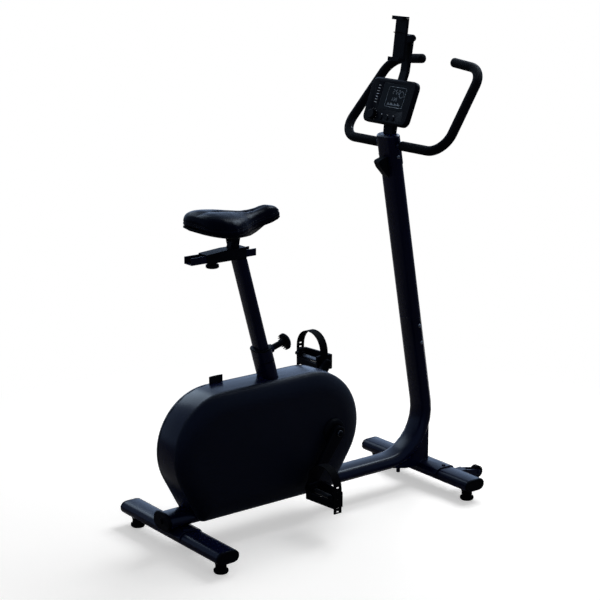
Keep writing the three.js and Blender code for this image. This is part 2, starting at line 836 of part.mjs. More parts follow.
// The crowned band between the side shells; it stops on the beam at both ends.
function housingBand() {
  const half = housingBandWidth / 2 - clearance;
  const slices = [-1, -0.4, 0.4, 1];
  const rings = slices.map((t) => {
    const crown = housingCrown * (1 - t * t);
    const outer = housingOutline(-crown).map((p) => at(p.x, t * half, p.y));
    const inner = housingOutline(housingWall).map((p) => at(p.x, t * half, p.y));
    return [...outer, ...inner.reverse()];
  });
  const loop = skin(rings);
  const below = box(rearmostX, foremostX, -housingBandWidth, housingBandWidth, 0, beamTopZ + clearance);
  return cut(loop, below, seatTubeSpace(clearance));
}

// Round cover over the crank's boss, its skirt trimmed to the shell's dome.
function hubCover() {
  const low = -hubCoverSkirt;
  const disc = turnedAcross(
    [
      [crankAxleRadius + 4, low],
      [hubCoverRadius, low],
      [hubCoverRadius, 2.5],
      [hubCoverRadius - 4, hubCoverDepth - 2],
      [hubCoverRadius - 12, hubCoverDepth],
      [crankBossRadius + 4, hubCoverDepth],
      [crankBossRadius, hubCoverDepth - 2],
      [crankAxleRadius + 4, hubCoverDepth - 2],
      [crankAxleRadius + 4, low],
    ],
    24,
  );
  const side = skin(domeRings(-clearance)).translate(-crankX, -housingHalfDepth - clearance, -crankZ);
  return cut(disc, side);
}

function buildHousing() {
  add(bike, "housing_band", housingBand(), satinPlastic());
  for (const [side, sign] of sides) {
    add(bike, `housing_shell_${side}`, handed(sign, housingShell()), mattePlastic());
    const disc = add(bike, `hub_cover_${side}`, handed(sign, hubCover()), satinPlastic());
    disc.position.set(crankX, sign * (housingHalfDepth + clearance), crankZ);
  }
}

// ---------------------------------------------------------------- seat tube and crank bracket

// The room that the seat tube takes, in the bike's own frame.
function seatTubeSpace(margin) {
  const section = obround(seatTubeWidth + 2 * margin, seatTubeThickness + 2 * margin, 6);
  return sweep([at(0, 0, 60), at(0, 0, seatTubeLength + 60)], axisY, section).applyMatrix4(seat.matrix);
}

// Seat tube with its knob boss, and the struts that carry the crank bearing.
function seatTube() {
  const outer = obround(seatTubeWidth, seatTubeThickness, 6);
  const inner = obround(seatTubeWidth - 2 * seatTubeWall, seatTubeThickness - 2 * seatTubeWall, 6);
  const line = [at(0, 0, 0), at(0, 0, seatTubeLength)];
  const bossEnd = seatTubeThickness / 2 + knobBossLength;
  const boss = turnedForward(rod(knobBossRadius, 0, bossEnd), 20).translate(0, 0, knobHeight);
  const solid = join(sweep(line, axisY, outer), boss).applyMatrix4(seat.matrix);
  const bore = sweep([at(0, 0, -60), at(0, 0, seatTubeLength + 10)], axisY, inner).applyMatrix4(seat.matrix);
  const pinHole = turnedForward(rod(knobBarrelRadius + clearance, 0, bossEnd + 5), 20);
  pinHole.translate(0, 0, knobHeight).applyMatrix4(seat.matrix);
  const level = box(seatFootX - 60, crankX, -strutHalf, strutHalf, crankZ - strutHalf, crankZ + strutHalf);
  const front = crankX + strutFront;
  const upright = box(front - 2 * strutHalf, front, -strutHalf, strutHalf, beamZ, crankZ);
  const shell = turnedAcross(rod(bracketRadius, -bracketLength / 2, bracketLength / 2), 20);
  const bearingBore = turnedAcross(rod(bracketRadius - bearingWall, -bracketLength, bracketLength), 20);
  const whole = join(solid, level, upright, shell.translate(crankX, 0, crankZ));
  const belowBeam = box(0, stabilizerSpacing, -seatTubeWidth, seatTubeWidth, -beamZ, beamTopZ + clearance);
  return cut(whole, bore, pinHole, bearingBore.translate(crankX, 0, crankZ), belowBeam);
}

function seatBushing() {
  const gap = seatTubeWall + clearance;
  const outer = obround(seatTubeWidth - 2 * gap, seatTubeThickness - 2 * gap, 6);
  const flange = obround(seatTubeWidth + 2, seatTubeThickness + 2, 6);
  const bore = obround(postWidth + 2 * clearance, postThickness + 2 * clearance, 5);
  const line = (from, to) => [at(0, 0, from), at(0, 0, to)];
  const low = seatTubeLength + clearance;
  const body = sweep(line(seatTubeLength - bushingDepth, low + 1), axisY, outer);
  const rim = sweep(line(low, low + bushingFlange), axisY, flange);
  const space = sweep(line(0, seatTubeLength + 100), axisY, bore);
  const pinHole = turnedForward(rod(knobPinRadius + clearance, 0, seatTubeWidth), 16);
  pinHole.translate(0, 0, knobHeight);
  return cut(join(body, rim), space, pinHole);
}

// Post: obround tube with a column of pin holes in its front face, cut level under the rail.
function seatPost() {
  const outer = obround(postWidth, postThickness, 5);
  const inner = obround(postWidth - 2 * postWall, postThickness - 2 * postWall, 5);
  const line = [at(0, 0, postReach - postLength), at(0, 0, postReach + 40)];
  const tube = hollowSweep(line, axisY, outer, inner);
  const holes = Array.from({ length: pinHoleCount }, (_, i) => {
    const height = knobHeight + (i - (pinHoleCount - 1) / 2) * pinHolePitch;
    return turnedForward(rod(knobPinRadius + clearance, 0, seatTubeWidth), 8).translate(0, 0, height);
  });
  const above = box(-200, 200, -200, 200, 0, 200);
  above.rotateY(rad(seatLean)).translate(0, 0, postReach);
  return cut(tube, ...holes, above);
}

// Knob: threaded barrel, mushroom head and a pin whose tip stops short of the post.
function postKnob() {
  const face = seatTubeThickness / 2;
  const headFrom = face + knobBossLength + knobBarrelLength;
  return turnedForward(
    [
      [0, postThickness / 2 + clearance],
      [knobPinRadius, postThickness / 2 + clearance],
      [knobPinRadius, face - seatTubeWall + 1],
      [knobBarrelRadius, face - seatTubeWall + 1],
      [knobBarrelRadius, headFrom],
      [knobHeadRadius * 0.62, headFrom],
      [knobHeadRadius, headFrom + knobHeadDepth * 0.3],
      [knobHeadRadius, headFrom + knobHeadDepth * 0.6],
      [knobHeadRadius * 0.8, headFrom + knobHeadDepth * 0.92],
      [knobHeadRadius * 0.4, headFrom + knobHeadDepth],
      [0, headFrom + knobHeadDepth],
    ],
    18,
  ).translate(0, 0, knobHeight);
}

function buildSeatTube() {
  add(bike, "seat_tube", seatTube(), paintedSteel());
  add(seat, "seat_bushing", seatBushing(), mattePlastic());
  add(seat, "seat_post", seatPost(), paintedSteel());
  add(seat, "seat_post_knob", postKnob(), mattePlastic());
}

// ---------------------------------------------------------------- seat rail, slider and saddle

const railZ = beamZ + postReach * Math.cos(rad(seatLean)) + clearance + railPadDepth;
const sliderTopZ = railZ + railHeight + clearance + sliderTopThickness;
const saddlePivotZ = sliderTopZ + saddleLugRise;
const saddleSeamZ = saddlePivotZ + saddleSeamRise;

function seatRail() {
  const half = railWidth / 2;
  const length = railLength;
  const outside = box(railRearX, railRearX + length, -half, half, railZ, railZ + railHeight);
  const trough = box(
    railRearX - 1,
    railRearX + length + 1,
    railWall - half,
    half - railWall,
    railZ + railWall,
    railZ + 50,
  );
  const slotHalf = sliderBoltRadius + 0.8;
  const slotFrom = sliderKnobX - sliderBack - slotHalf - 1;
  const slotTo = sliderKnobX + sliderForward + slotHalf + 1;
  const slot = box(slotFrom, slotTo, -slotHalf, slotHalf, railZ - 10, railZ + 10);
  const postX = seatFootX - postReach * Math.sin(rad(seatLean));
  const padHalf = postThickness / 2;
  const pad = box(
    postX - padHalf,
    postX + padHalf,
    -railPadWidth / 2,
    railPadWidth / 2,
    railZ - railPadDepth,
    railZ + 1,
  );
  return join(cut(outside, trough, slot), pad);
}

// Slider: a cover over the rail, a tongue inside it and a lug for the saddle.
function seatSlider() {
  const half = railWidth / 2 + clearance + sliderCoverWall;
  const low = railZ - sliderSkirt;
  const profile = [
    new THREE.Vector2(sliderRearX + 3, low),
    new THREE.Vector2(sliderRearX + sliderLength, low),
    new THREE.Vector2(sliderRearX + sliderLength, sliderTopZ),
    new THREE.Vector2(sliderRearX + sliderSlope, sliderTopZ),
    new THREE.Vector2(sliderRearX, railZ + railHeight + sliderRearRise),
  ];
  const cover = across(profile, 2 * half, 0, [], 1.5);
  const gapHalf = railWidth / 2 + clearance;
  const insideTop = railZ + railHeight + clearance;
  const room = box(sliderRearX - 5, sliderRearX + sliderLength + 5, -gapHalf, gapHalf, low - 10, insideTop);
  const tongueHalf = railWidth / 2 - railWall - clearance;
  const tongueFrom = sliderRearX + 5;
  const tongueTo = sliderRearX + sliderLength - 4;
  const tongue = box(
    tongueFrom,
    tongueTo,
    -tongueHalf,
    tongueHalf,
    railZ + railWall + clearance,
    insideTop + 1,
  );
  const boltHole = turned(rod(sliderBoltRadius + clearance, 0, 20), 16).translate(sliderKnobX, 0, railZ);
  const lug = across(taperedArm(saddleLugRadius, saddleLugRadius + 5, saddleLugRise + 2), saddleLugWidth);
  lug.rotateY(Math.PI / 2).translate(saddlePivotX, 0, saddlePivotZ);
  const lugTrim = box(0, housingCentreX, -railWidth, railWidth, 0, insideTop + 2);
  const pinHole = turnedAcross(rod(saddleBoltRadius + runningGap, -50, 50), 16);
  const body = join(cut(cover, room), tongue, cut(lug, lugTrim));
  return cut(body, boltHole, pinHole.translate(saddlePivotX, 0, saddlePivotZ));
}

function sliderKnob() {
  const top = railZ - clearance;
  const neck = top - sliderKnobNeck;
  const bottom = neck - sliderKnobDepth;
  const knob = turned(
    [
      [0, bottom],
      [sliderKnobRadius - 4, bottom],
      [sliderKnobRadius, bottom + 4],
      [sliderKnobRadius, neck - 3],
      [sliderKnobRadius - 4, neck],
      [12, neck],
      [12, top],
      [sliderBoltRadius, top],
      [sliderBoltRadius, railZ + railWall + 8],
      [0, railZ + railWall + 8],
    ],
    18,
  );
  return knob.translate(sliderKnobX, 0, 0);
}

// Half width, top, base depth and seam of the saddle at a share of its length, from the tail to the nose.
const saddleWidths = new THREE.SplineCurve(
  [[0, 0.5], [0.05, 0.78], [0.2, 1], [0.38, 0.84], [0.55, 0.5], [0.7, 0.33], [0.9, 0.27], [1, 0.14]].map(
    ([t, w]) => new THREE.Vector2(t, w),
  ),
);
const saddleTops = new THREE.SplineCurve(
  [[0, 0.64], [0.08, 1.06], [0.3, 1.1], [0.55, 0.91], [0.8, 0.91], [0.9, 0.91], [1, 0.43]].map(
    ([t, h]) => new THREE.Vector2(t, h),
  ),
);
const saddleDepths = new THREE.SplineCurve(
  [[0, 0.4], [0.2, 0.7], [0.4, 0.95], [0.58, 1.3], [0.68, 1.1], [0.77, 0.45], [1, 0.3]].map(
    ([t, d]) => new THREE.Vector2(t, d),
  ),
);
const saddleSeam = (t) => saddleSeamZ + saddleTailRise * (1 - t) ** 4 + saddleNoseRise * t ** 3;

function heightAt(curve, t) {
  let low = 0;
  let high = 1;
  for (let i = 0; i < 24; i++) {
    const mid = (low + high) / 2;
    if (curve.getPoint(mid).x < t) low = mid;
    else high = mid;
  }
  return curve.getPoint(low).y;
}

const saddleStations = [0, 0.02, 0.06, 0.13, 0.22, 0.32, 0.42, 0.52, 0.6, 0.68, 0.76, 0.86, 0.95, 0.985, 1];

// Cushion: crowned over its width, with a shallow channel down its middle.
function saddlePad() {
  const rings = saddleStations.map((t) => {
    const half = saddleHalfWidth * heightAt(saddleWidths, t);
    const height = saddlePadHeight * heightAt(saddleTops, t);
    const seam = saddleSeam(t);
    const steps = 14;
    return Array.from({ length: steps + 1 }, (_, i) => {
      const turn = Math.PI * (i / steps);
      const sideways = Math.cos(turn);
      const y = half * Math.sign(sideways) * Math.abs(sideways) ** 0.8;
      const channel = 6 * Math.exp(-((y / 16) ** 2)) * Math.sin(Math.PI * t);
      return at(
        saddleRearX + t * saddleLength,
        y,
        seam + height * Math.sin(turn) ** 0.6 - channel * Math.sin(turn),
      );
    });
  });
  return skin(rings);
}

// Moulded tray under the cushion, with the two ears that hold it to the slider's lug.
function saddleBase() {
  const rings = saddleStations.map((t) => {
    const half = saddleHalfWidth * heightAt(saddleWidths, t) - 3;
    const top = saddleSeam(t) - clearance;
    const depth = saddleShellDepth * heightAt(saddleDepths, t);
    const x = saddleRearX + t * saddleLength;
    return [
      at(x, half, top),
      at(x, half, top - 4),
      at(x, half * 0.6, top - depth),
      at(x, -half * 0.6, top - depth),
      at(x, -half, top - 4),
      at(x, -half, top),
    ];
  });
  const inner = saddleLugWidth / 2 + clearance;
  const outer = inner + saddleEarThickness;
  const rise = saddleSeam(0.4) - 8 - saddlePivotZ;
  const ears = [-1, 1].map((sign) => {
    const ear = across(taperedArm(saddleLugRadius, saddleLugRadius + 6, rise), saddleEarThickness);
    return ear.rotateY(-Math.PI / 2).translate(saddlePivotX, (sign * (inner + outer)) / 2, saddlePivotZ);
  });
  const bolt = turnedAcross(rod(saddleBoltRadius, -outer, outer), 16);
  const heads = [-1, 1].map((sign) => {
    const head = turnedAcross(rod(7, outer - 0.5, outer + 4), 12);
    if (sign < 0) head.rotateZ(Math.PI);
    return head.translate(saddlePivotX, 0, saddlePivotZ);
  });
  const tray = skin(rings);
  const topZ = saddleSeamZ - clearance;
  const top = box(
    saddleRearX,
    saddleRearX + saddleLength,
    -outer - 1,
    outer + 1,
    topZ,
    topZ + saddlePadHeight,
  );
  const shapedEars = ears.map((ear) => cut(ear, top));
  return join(tray, ...shapedEars, bolt.translate(saddlePivotX, 0, saddlePivotZ), ...heads);
}

function buildSeat() {
  add(bike, "seat_rail", seatRail(), paintedSteel());
  add(bike, "seat_slider", seatSlider(), mattePlastic());
  add(bike, "seat_slider_knob", sliderKnob(), mattePlastic());
  add(bike, "saddle_base", saddleBase(), mattePlastic());
  add(bike, "saddle_pad", saddlePad(), vinyl());
}

// ---------------------------------------------------------------- drive inside the housing

// Arms, axle and bolts about the crank's centre; the arms' own line is their first axis.
function crankArm() {
  const plate = across(taperedArm(crankBossRadius, crankTipRadius, crankLength), crankThickness, 0, [], 2);
  const half = crankThickness / 2;
  const bore = turnedAcross(rod(crankAxleRadius + clearance, -half - 1, half - crankEndWall), 20);
  const boltHole = turnedAcross(rod(crankBoltRadius + clearance, -half, half + 1), 16);
  const spindleEnd = pedalGap + pedalWidth + half - 1;
  const spindle = turnedAcross(rod(spindleRadius, 0, spindleEnd), 16).translate(crankLength, 0, 0);
  return join(cut(plate, bore, boltHole), spindle);
}

function crankAxle() {
  const shoulder = crankOuterY - crankEndWall - clearance;
  const headFrom = crankOuterY + clearance;
  const half = [
    [crankAxleRadius, shoulder],
    [crankBoltRadius, shoulder],
    [crankBoltRadius, headFrom],
    [crankBossRadius * 0.45, headFrom],
    [crankBossRadius * 0.45, headFrom + 5],
    [0, headFrom + 5],
  ];
  const rightHalf = half.map(([radius, y]) => [radius, -y]).reverse();
  return turnedAcross([...rightHalf, ...half], 16);
}

function crankBearing() {
  const outer = bracketRadius - bearingWall - clearance;
  const inner = crankAxleRadius + clearance;
  const half = bracketLength / 2 + 1;
  return turnedAcross([[inner, -half], [outer, -half], [outer, half], [inner, half], [inner, -half]], 20);
}

// Belt pulley: hub, web with round lightening holes, and rim.
function drivePulley() {
  const half = pulleyWidth / 2;
  const web = pulleyWebThickness / 2;
  const bore = crankAxleRadius + clearance;
  const body = turnedAcross(
    [
      [bore, -half],
      [pulleyHubRadius, -half],
      [pulleyHubRadius, -web],
      [pulleyRadius - pulleyRimDepth, -web],
      [pulleyRadius - pulleyRimDepth, -half],
      [pulleyRadius, -half],
      [pulleyRadius, half],
      [pulleyRadius - pulleyRimDepth, half],
      [pulleyRadius - pulleyRimDepth, web],
      [pulleyHubRadius, web],
      [pulleyHubRadius, half],
      [bore, half],
      [bore, -half],
    ],
    24,
  );
  const holes = Array.from({ length: pulleyHoles }, (_, i) => {
    const turn = rad((360 / pulleyHoles) * i);
    const hole = turnedAcross(rod(pulleyHoleRadius, -half, half), 10);
    const reach = (pulleyHubRadius + pulleyRadius - pulleyRimDepth) / 2;
    return hole.translate(reach * Math.cos(turn), 0, reach * Math.sin(turn));
  });
  return cut(body, ...holes);
}

// A belt's outline round both pulleys, at a distance outside their running faces.
function beltOutline(offset) {
  const dx = flywheelX - crankX;
  const dz = flywheelZ - crankZ;
  const big = pulleyRadius + offset;
  const small = flywheelPulleyRadius + offset;
  const toward = THREE.MathUtils.radToDeg(Math.atan2(dz, dx));
  const open = THREE.MathUtils.radToDeg(Math.acos((big - small) / Math.hypot(dx, dz)));
  return [
    ...arc(crankX, crankZ, big, toward + open - 360, toward - open, 20),
    ...arc(flywheelX, flywheelZ, small, toward - open, toward + open, 10),
  ];
}

const driveBelt = () => across(
  beltOutline(beltGap + beltThickness),
  beltWidth,
  pulleyY,
  [beltOutline(beltGap)],
);

// Flywheel, shaft and small pulley, turned as one.
function flywheel() {
  const rim = flywheelRimWidth / 2;
  const web = flywheelWebThickness / 2;
  const shaftEnd = flywheelPlateY + flywheelPlateThickness;
  const from = pulleyY - pulleyWidth / 2;
  const to = pulleyY + pulleyWidth / 2;
  return turnedAcross(
    [
      [0, -shaftEnd - 6],
      [flywheelShaftRadius, -shaftEnd - 6],
      [flywheelShaftRadius, -rim - 6],
      [flywheelHubRadius, -rim - 6],
      [flywheelHubRadius, -web],
      [flywheelRadius - flywheelRimDepth, -web],
      [flywheelRadius - flywheelRimDepth + 2, -rim],
      [flywheelRadius, -rim],
      [flywheelRadius, rim],
      [flywheelRadius - flywheelRimDepth + 2, rim],
      [flywheelRadius - flywheelRimDepth, web],
      [flywheelHubRadius, web],
      [flywheelHubRadius, rim + 6],
      [flywheelShaftRadius, rim + 6],
      [flywheelShaftRadius, from],
      [flywheelPulleyRadius, from],
      [flywheelPulleyRadius, to],
      [0, to],
    ],
    24,
  );
}

const magnetPivot = () => {
  const reach = flywheelRadius + magnetGap + magnetThickness + magnetPivotReach;
  return [reach * Math.cos(rad(magnetPivotAngle)), reach * Math.sin(rad(magnetPivotAngle))];
};

// Two plates on the beam that carry the flywheel's shaft and, on longer arms, the magnet's pivot pin.
function flywheelBracket() {
  const baseZ = beamTopZ + clearance - flywheelZ;
  const [pivotX, pivotZ] = magnetPivot();
  const reach = Math.hypot(pivotX, pivotZ);
  const plates = [-1, 1].flatMap((sign) => {
    const middle = sign * (flywheelPlateY + flywheelPlateThickness / 2);
    const upright = across(
      [
        new THREE.Vector2(-wheelPlateHalf, baseZ),
        new THREE.Vector2(wheelPlateHalf, baseZ),
        ...arc(0, 0, wheelPlateRadius, -10, 190, 10),
      ],
      flywheelPlateThickness,
      middle,
    );
    const arm = across(taperedArm(wheelPlateRadius, magnetBossRadius, reach), flywheelPlateThickness, middle);
    const armHome = arm.translate(0, -middle, 0).rotateY(-rad(magnetPivotAngle)).translate(0, middle, 0);
    return [upright, armHome];
  });
  const half = flywheelPlateY + flywheelPlateThickness;
  const base = box(-wheelPlateHalf, wheelPlateHalf, -half, half, baseZ, baseZ + wheelPlateBase);
  const pin = turnedAcross(rod(magnetPinRadius, -half - 2, half + 2), 12).translate(pivotX, 0, pivotZ);
  const bore = turnedAcross(rod(flywheelShaftRadius + runningGap, -2 * half, 2 * half), 20);
  return join(cut(join(base, ...plates), bore), pin);
}

// Curved brake shoe that swings away from the flywheel's rim.
function magnetShoe() {
  const inner = flywheelRadius + magnetGap;
  const outer = inner + magnetThickness;
  const from = magnetPivotAngle - 6;
  const to = from + magnetSweep;
  const profile = [...arc(0, 0, outer, from, to, 10), ...arc(0, 0, inner, to, from, 10)];
  const [pivotX, pivotZ] = magnetPivot();
  const shoe = across(profile, flywheelRimWidth + 2 * magnetOverhang);
  const width = 2 * (flywheelPlateY - clearance);
  const boss = turnedAcross(rod(magnetBossRadius, -width / 2, width / 2), 20).translate(pivotX, 0, pivotZ);
  const bore = turnedAcross(rod(magnetPinRadius + runningGap, -width, width), 16);
  bore.translate(pivotX, 0, pivotZ);
  return cut(join(shoe, boss), bore);
}

function buildDrive() {
  const crank = group(bike, crankX, 0, crankZ);
  add(crank, "crank_bearing", crankBearing(), bareSteel());
  add(crank, "crank_axle", crankAxle(), bareSteel());
  const pulley = add(crank, "drive_pulley", drivePulley(), mattePlastic());
  pulley.position.y = pulleyY;
  const middle = crankInnerY + crankThickness / 2;
  for (const [side, sign] of sides) {
    const turn = side === "right" ? crankAngle : crankAngle - 180;
    const arm = group(crank, 0, sign * middle, 0, -turn);
    const geometry = crankArm();
    if (sign < 0) geometry.rotateX(Math.PI);
    add(arm, `crank_arm_${side}`, geometry, satinPlastic());
    const spindle = at(
      crankLength * Math.cos(rad(turn)),
      sign * pedalCentreY,
      crankLength * Math.sin(rad(turn)),
    );
    const place = group(crank, spindle.x, spindle.y, spindle.z);
    add(place, `pedal_${side}`, handed(sign, pedal()), mattePlastic());
    add(place, `pedal_strap_${side}`, handed(sign, pedalStrap()), rubber());
  }
  add(bike, "drive_belt", driveBelt(), rubber());
  const wheel = group(bike, flywheelX, 0, flywheelZ);
  add(wheel, "flywheel", flywheel(), castIron());
  add(wheel, "flywheel_bracket", flywheelBracket(), paintedSteel());
  add(wheel, "magnet_shoe", magnetShoe(), bareSteel());
}

// ---------------------------------------------------------------- pedals

// Pedal's outline seen from above, drawn in by `inset`: it narrows toward its outer end.
function pedalOutline(inset) {
  const end = pedalWidth / 2 - inset;
  return [
    [inset - pedalInnerRear, -end],
    [pedalInnerFront - inset, -end],
    [pedalOuterFront - inset, end],
    [inset - pedalOuterRear, end],
  ].map(([x, y]) => new THREE.Vector2(x, y));
}

// Pedal body: four walls round an open middle, the rear one low, with bosses for the spindle and a peg
// behind the outer end for the strap.
function pedal() {
  const shape = new THREE.Shape(pedalOutline(0));
  shape.holes = [new THREE.Path(pedalOutline(pedalWall))];
  const walls = new THREE.ExtrudeGeometry(shape, {
    depth: pedalHeight - 2 * pedalBevel,
    bevelSize: pedalBevel,
    bevelOffset: -pedalBevel,
    bevelThickness: pedalBevel,
    bevelSegments: 2,
  }).translate(0, 0, pedalTop - pedalHeight + pedalBevel);
  const half = pedalWidth / 2;
  const between = half - pedalWall;
  const overRear = box(-2 * pedalInnerRear, 0, -between, between, -pedalRearTop, 2 * pedalTop);
  const bosses = [-1, 1].map((sign) => {
    const boss = turnedAcross(rod(pedalBossRadius, half - pedalBossLength, half - 1), 20);
    return sign < 0 ? boss.rotateZ(Math.PI) : boss;
  });
  const peg = turnedAcross(rod(pedalPegRadius, half - pedalPegLength, half - 1), 12);
  peg.translate(-pedalOuterRear - pedalPegRadius / 2, 0, pedalPegRise);
  const bore = turnedAcross(rod(spindleRadius + runningGap, -half - 1, half + 1), 16);
  return cut(join(cut(walls, overRear), ...bosses, peg), bore);
}

// Toe strap: a band that arches over the pedal from its inner side to its outer side, where its free
// end hangs and its row of holes lies.
function pedalStrap() {
  const reach = pedalWidth / 2 + clearance + strapThickness / 2;
  const low = spindleRadius + 2;
  const corners = [
    at(0, -reach, low),
    at(0, -reach, strapRise),
    at(0, reach, strapRise),
    at(0, reach, -strapTail),
  ];
  const section = [
    new THREE.Vector2(-strapWidth / 2, -strapThickness / 2),
    new THREE.Vector2(strapWidth / 2, -strapThickness / 2),
    new THREE.Vector2(strapWidth / 2, strapThickness / 2),
    new THREE.Vector2(-strapWidth / 2, strapThickness / 2),
  ];
  const band = sweep(bentPath(corners, strapCornerRadius, 7), axisX, section);
  const holes = Array.from({ length: strapHoleCount }, (_, i) => {
    const z = (i + 0.5) * strapHolePitch - strapTail;
    const halfLength = strapHoleLength / 2;
    const depth = 2 * strapThickness;
    return box(
      -halfLength,
      halfLength,
      reach - depth,
      reach + depth,
      z - strapHoleWidth / 2,
      z + strapHoleWidth / 2,
    );
  });
  return cut(band, ...holes);
}

// ---------------------------------------------------------------- handlebar and clamp

const barCorners = () => [
  at(0, -barTipY, barReach + barTipRise),
  at(0, -barTopHalfWidth, barReach),
  at(0, -barHalfWidth, 0),
  at(0, barHalfWidth, 0),
  at(0, barTopHalfWidth, barReach),
  at(0, barTipY, barReach + barTipRise),
];
const circle = (radius, steps = 10) => arc(0, 0, radius, 0, 360 - 360 / steps, steps - 1);

function handlebar() {
  const path = bentPath(barCorners(), [barUpperBend, barLowerBend, barLowerBend, barUpperBend], 3);
  return hollowSweep(path, axisX, circle(barRadius), circle(barRadius - barWall));
}

// Foam grip for the left half: a blind sleeve from beside the clamp round to the bar's tip.
function grip() {
  const corners = barCorners().slice(3);
  const path = bentPath([at(0, gripStartY, 0), ...corners], [barLowerBend, barUpperBend], 3);
  const bore = circle(barRadius + clearance);
  const tip = path[path.length - 1];
  const along = tip.clone().sub(path[path.length - 2]).normalize();
  const lengthened = (by) => [...path.slice(0, -1), tip.clone().addScaledVector(along, by)];
  const rings = ringsAlong(lengthened(4), axisX, circle(gripRadius));
  const blind = ringsAlong(lengthened(clearance), axisX, bore);
  const dome = [0.35, 0.7, 0.95].map((share) => {
    const centre = tip.clone().addScaledVector(along, 4 + gripRadius * 0.6 * share);
    const up = along.clone().cross(axisX);
    const radius = gripRadius * Math.sqrt(1 - share * share);
    return circle(radius).map((p) => centre.clone().addScaledVector(axisX, p.x).addScaledVector(up, p.y));
  });
  return skin([...blind.reverse(), ...rings, ...dome]);
}

// Clamp on the mast's top, of the mast's own section: bored for the bar, slit so that the lever's screw
// closes it.
function barClamp() {
  const bottom = lowerMastLength + upperMastLength + clearance;
  const top = barHeight + clampRise;
  const section = (inset) => obround(clampWidth - 2 * inset, clampDepth - 2 * inset, 6);
  const line = [bottom, top - clampEdge, top].map((z) => at(0, 0, z));
  const block = skin(ringsAlong(line, axisY, [section(0), section(0), section(clampEdge)]));
  const plug = sweep(
    [at(0, 0, bottom - 40), at(0, 0, bottom + 20)],
    axisY,
    tubeSection(tubeWall + clearance),
  );
  const bore = turnedAcross(rod(barRadius + clearance, -clampWidth, clampWidth), 20);
  bore.translate(barAhead, 0, barHeight);
  const slit = box(6, 6 + clampSlit, -clampWidth, clampWidth, bottom + 6, barHeight);
  const screwHole = turnedForward(rod(leverScrewRadius + clearance, -clampDepth, clampDepth / 2 - 5), 16);
  return cut(join(block, plug), bore, slit, screwHole.translate(0, 0, barHeight - leverDrop));
}

// Clamp lever: a wedge on the rider's side, thick at its top and tapering down to the mast's face.
function clampLever() {
  const hubFrom = -clampDepth / 2 - clearance;
  const innerX = hubFrom - leverStandOff;
  const outerX = innerX - leverThickness;
  const profile = [
    [innerX, leverTop],
    [outerX + 4, leverTop - 4],
    [outerX, leverTop - 9],
    [outerX + 5, -leverHubRadius],
    [innerX - 6, 5 - leverLength],
    [innerX - 3, -leverLength],
    [innerX, -leverLength],
  ].map(([x, z]) => new THREE.Vector2(x, z));
  const wedge = across(profile, leverWidth, 0, [], 1);
  const hub = turnedForward(rod(leverHubRadius, innerX - 1, hubFrom), 20);
  const screw = turnedForward(rod(leverScrewRadius, hubFrom - 1, clampDepth / 2 - 7), 16);
  return join(wedge, hub, screw).translate(0, 0, barHeight - leverDrop);
}

function buildHandlebar() {
  add(mast, "bar_clamp", barClamp(), satinPlastic());
  add(mast, "clamp_lever", clampLever(), mattePlastic());
  const bar = group(mast, barAhead, 0, barHeight, barTilt + mastLean);
  add(bar, "handlebar", handlebar(), paintedSteel());
  for (const [side, sign] of sides) {
    const geometry = grip();
    if (sign < 0) geometry.rotateZ(Math.PI);
    add(bar, `handlebar_grip_${side}`, geometry, foam());
  }
}

// ---------------------------------------------------------------- console

// In the console's frame x runs back from its face, z up its face and y to the rider's left.
const faceCircle = (radius, from, to) => turnedForward(rod(radius, from, to), 16);

function consoleHousing() {
  const outline = roundedRectangle(consoleWidth, consoleHeight, consoleCorner, 4);
  const body = forward(outline, consoleDepth, 5).translate(0, 0, consoleHeight / 2);
  const pocket = forward(roundedRectangle(lensWidth, lensHeight, 6), lensThickness + clearance + 1);
  pocket.translate(-1, lensY, lensRise);
  const wells = keyPlaces().map(
    ([, y]) => faceCircle(keyRadius + runningGap, -1, keyDepth).translate(0, y, keyRise),
  );
  const dialWell = faceCircle(dialRadius * 0.4 + runningGap, -1, keyDepth).translate(0, dialY, dialRise);
  return cut(body, pocket, ...wells, dialWell);
}

function keyPlaces() {
  return [["left", 1], ["middle", 0], ["right", -1]].map(
    ([name, step]) => [name, keyMiddleY + step * keySpacing],
  );
}

const consoleKey = () => turnedForward(
  [
    [0, -keyProud],
    [keyRadius - 1, -keyProud],
    [keyRadius, 1 - keyProud],
    [keyRadius, keyDepth - keyTravel - 0.5],
    [0, keyDepth - keyTravel - 0.5],
  ],
  16,
);

// Turning dial: a grooved cap on a stub that sits in the console.
function consoleDial() {
  return turnedForward(
    [
      [0, -dialHeight],
      [dialRadius - 2, -dialHeight],
      [dialRadius, 2 - dialHeight],
      [dialRadius, -clearance],
      [dialRadius * 0.4, -clearance],
      [dialRadius * 0.4, keyDepth - 0.5],
      [0, keyDepth - 0.5],
    ],
    24,
  );
}

function consoleLens() {
  const gap = 2 * clearance;
  return forward(roundedRectangle(lensWidth - gap, lensHeight - gap, 6 - clearance), lensThickness);
}

// Bracket from the clamp's top to the console's back.
function consoleBracket() {
  const turn = rad(consoleTilt);
  const onBack = (rise) => {
    const depth = consoleDepth + clearance;
    return new THREE.Vector2(
      consoleBack + depth * Math.cos(turn) + rise * Math.sin(turn),
      consoleRise - depth * Math.sin(turn) + rise * Math.cos(turn),
    );
  };
  const low = barHeight + clampRise + clearance;
  const profile = [
    new THREE.Vector2(-2, low),
    new THREE.Vector2(16, low),
    new THREE.Vector2(onBack(60).x + 8, onBack(60).y - 12),
    onBack(76),
    onBack(14),
  ];
  return across(profile, consoleBracketWidth, 0, [], 2);
}

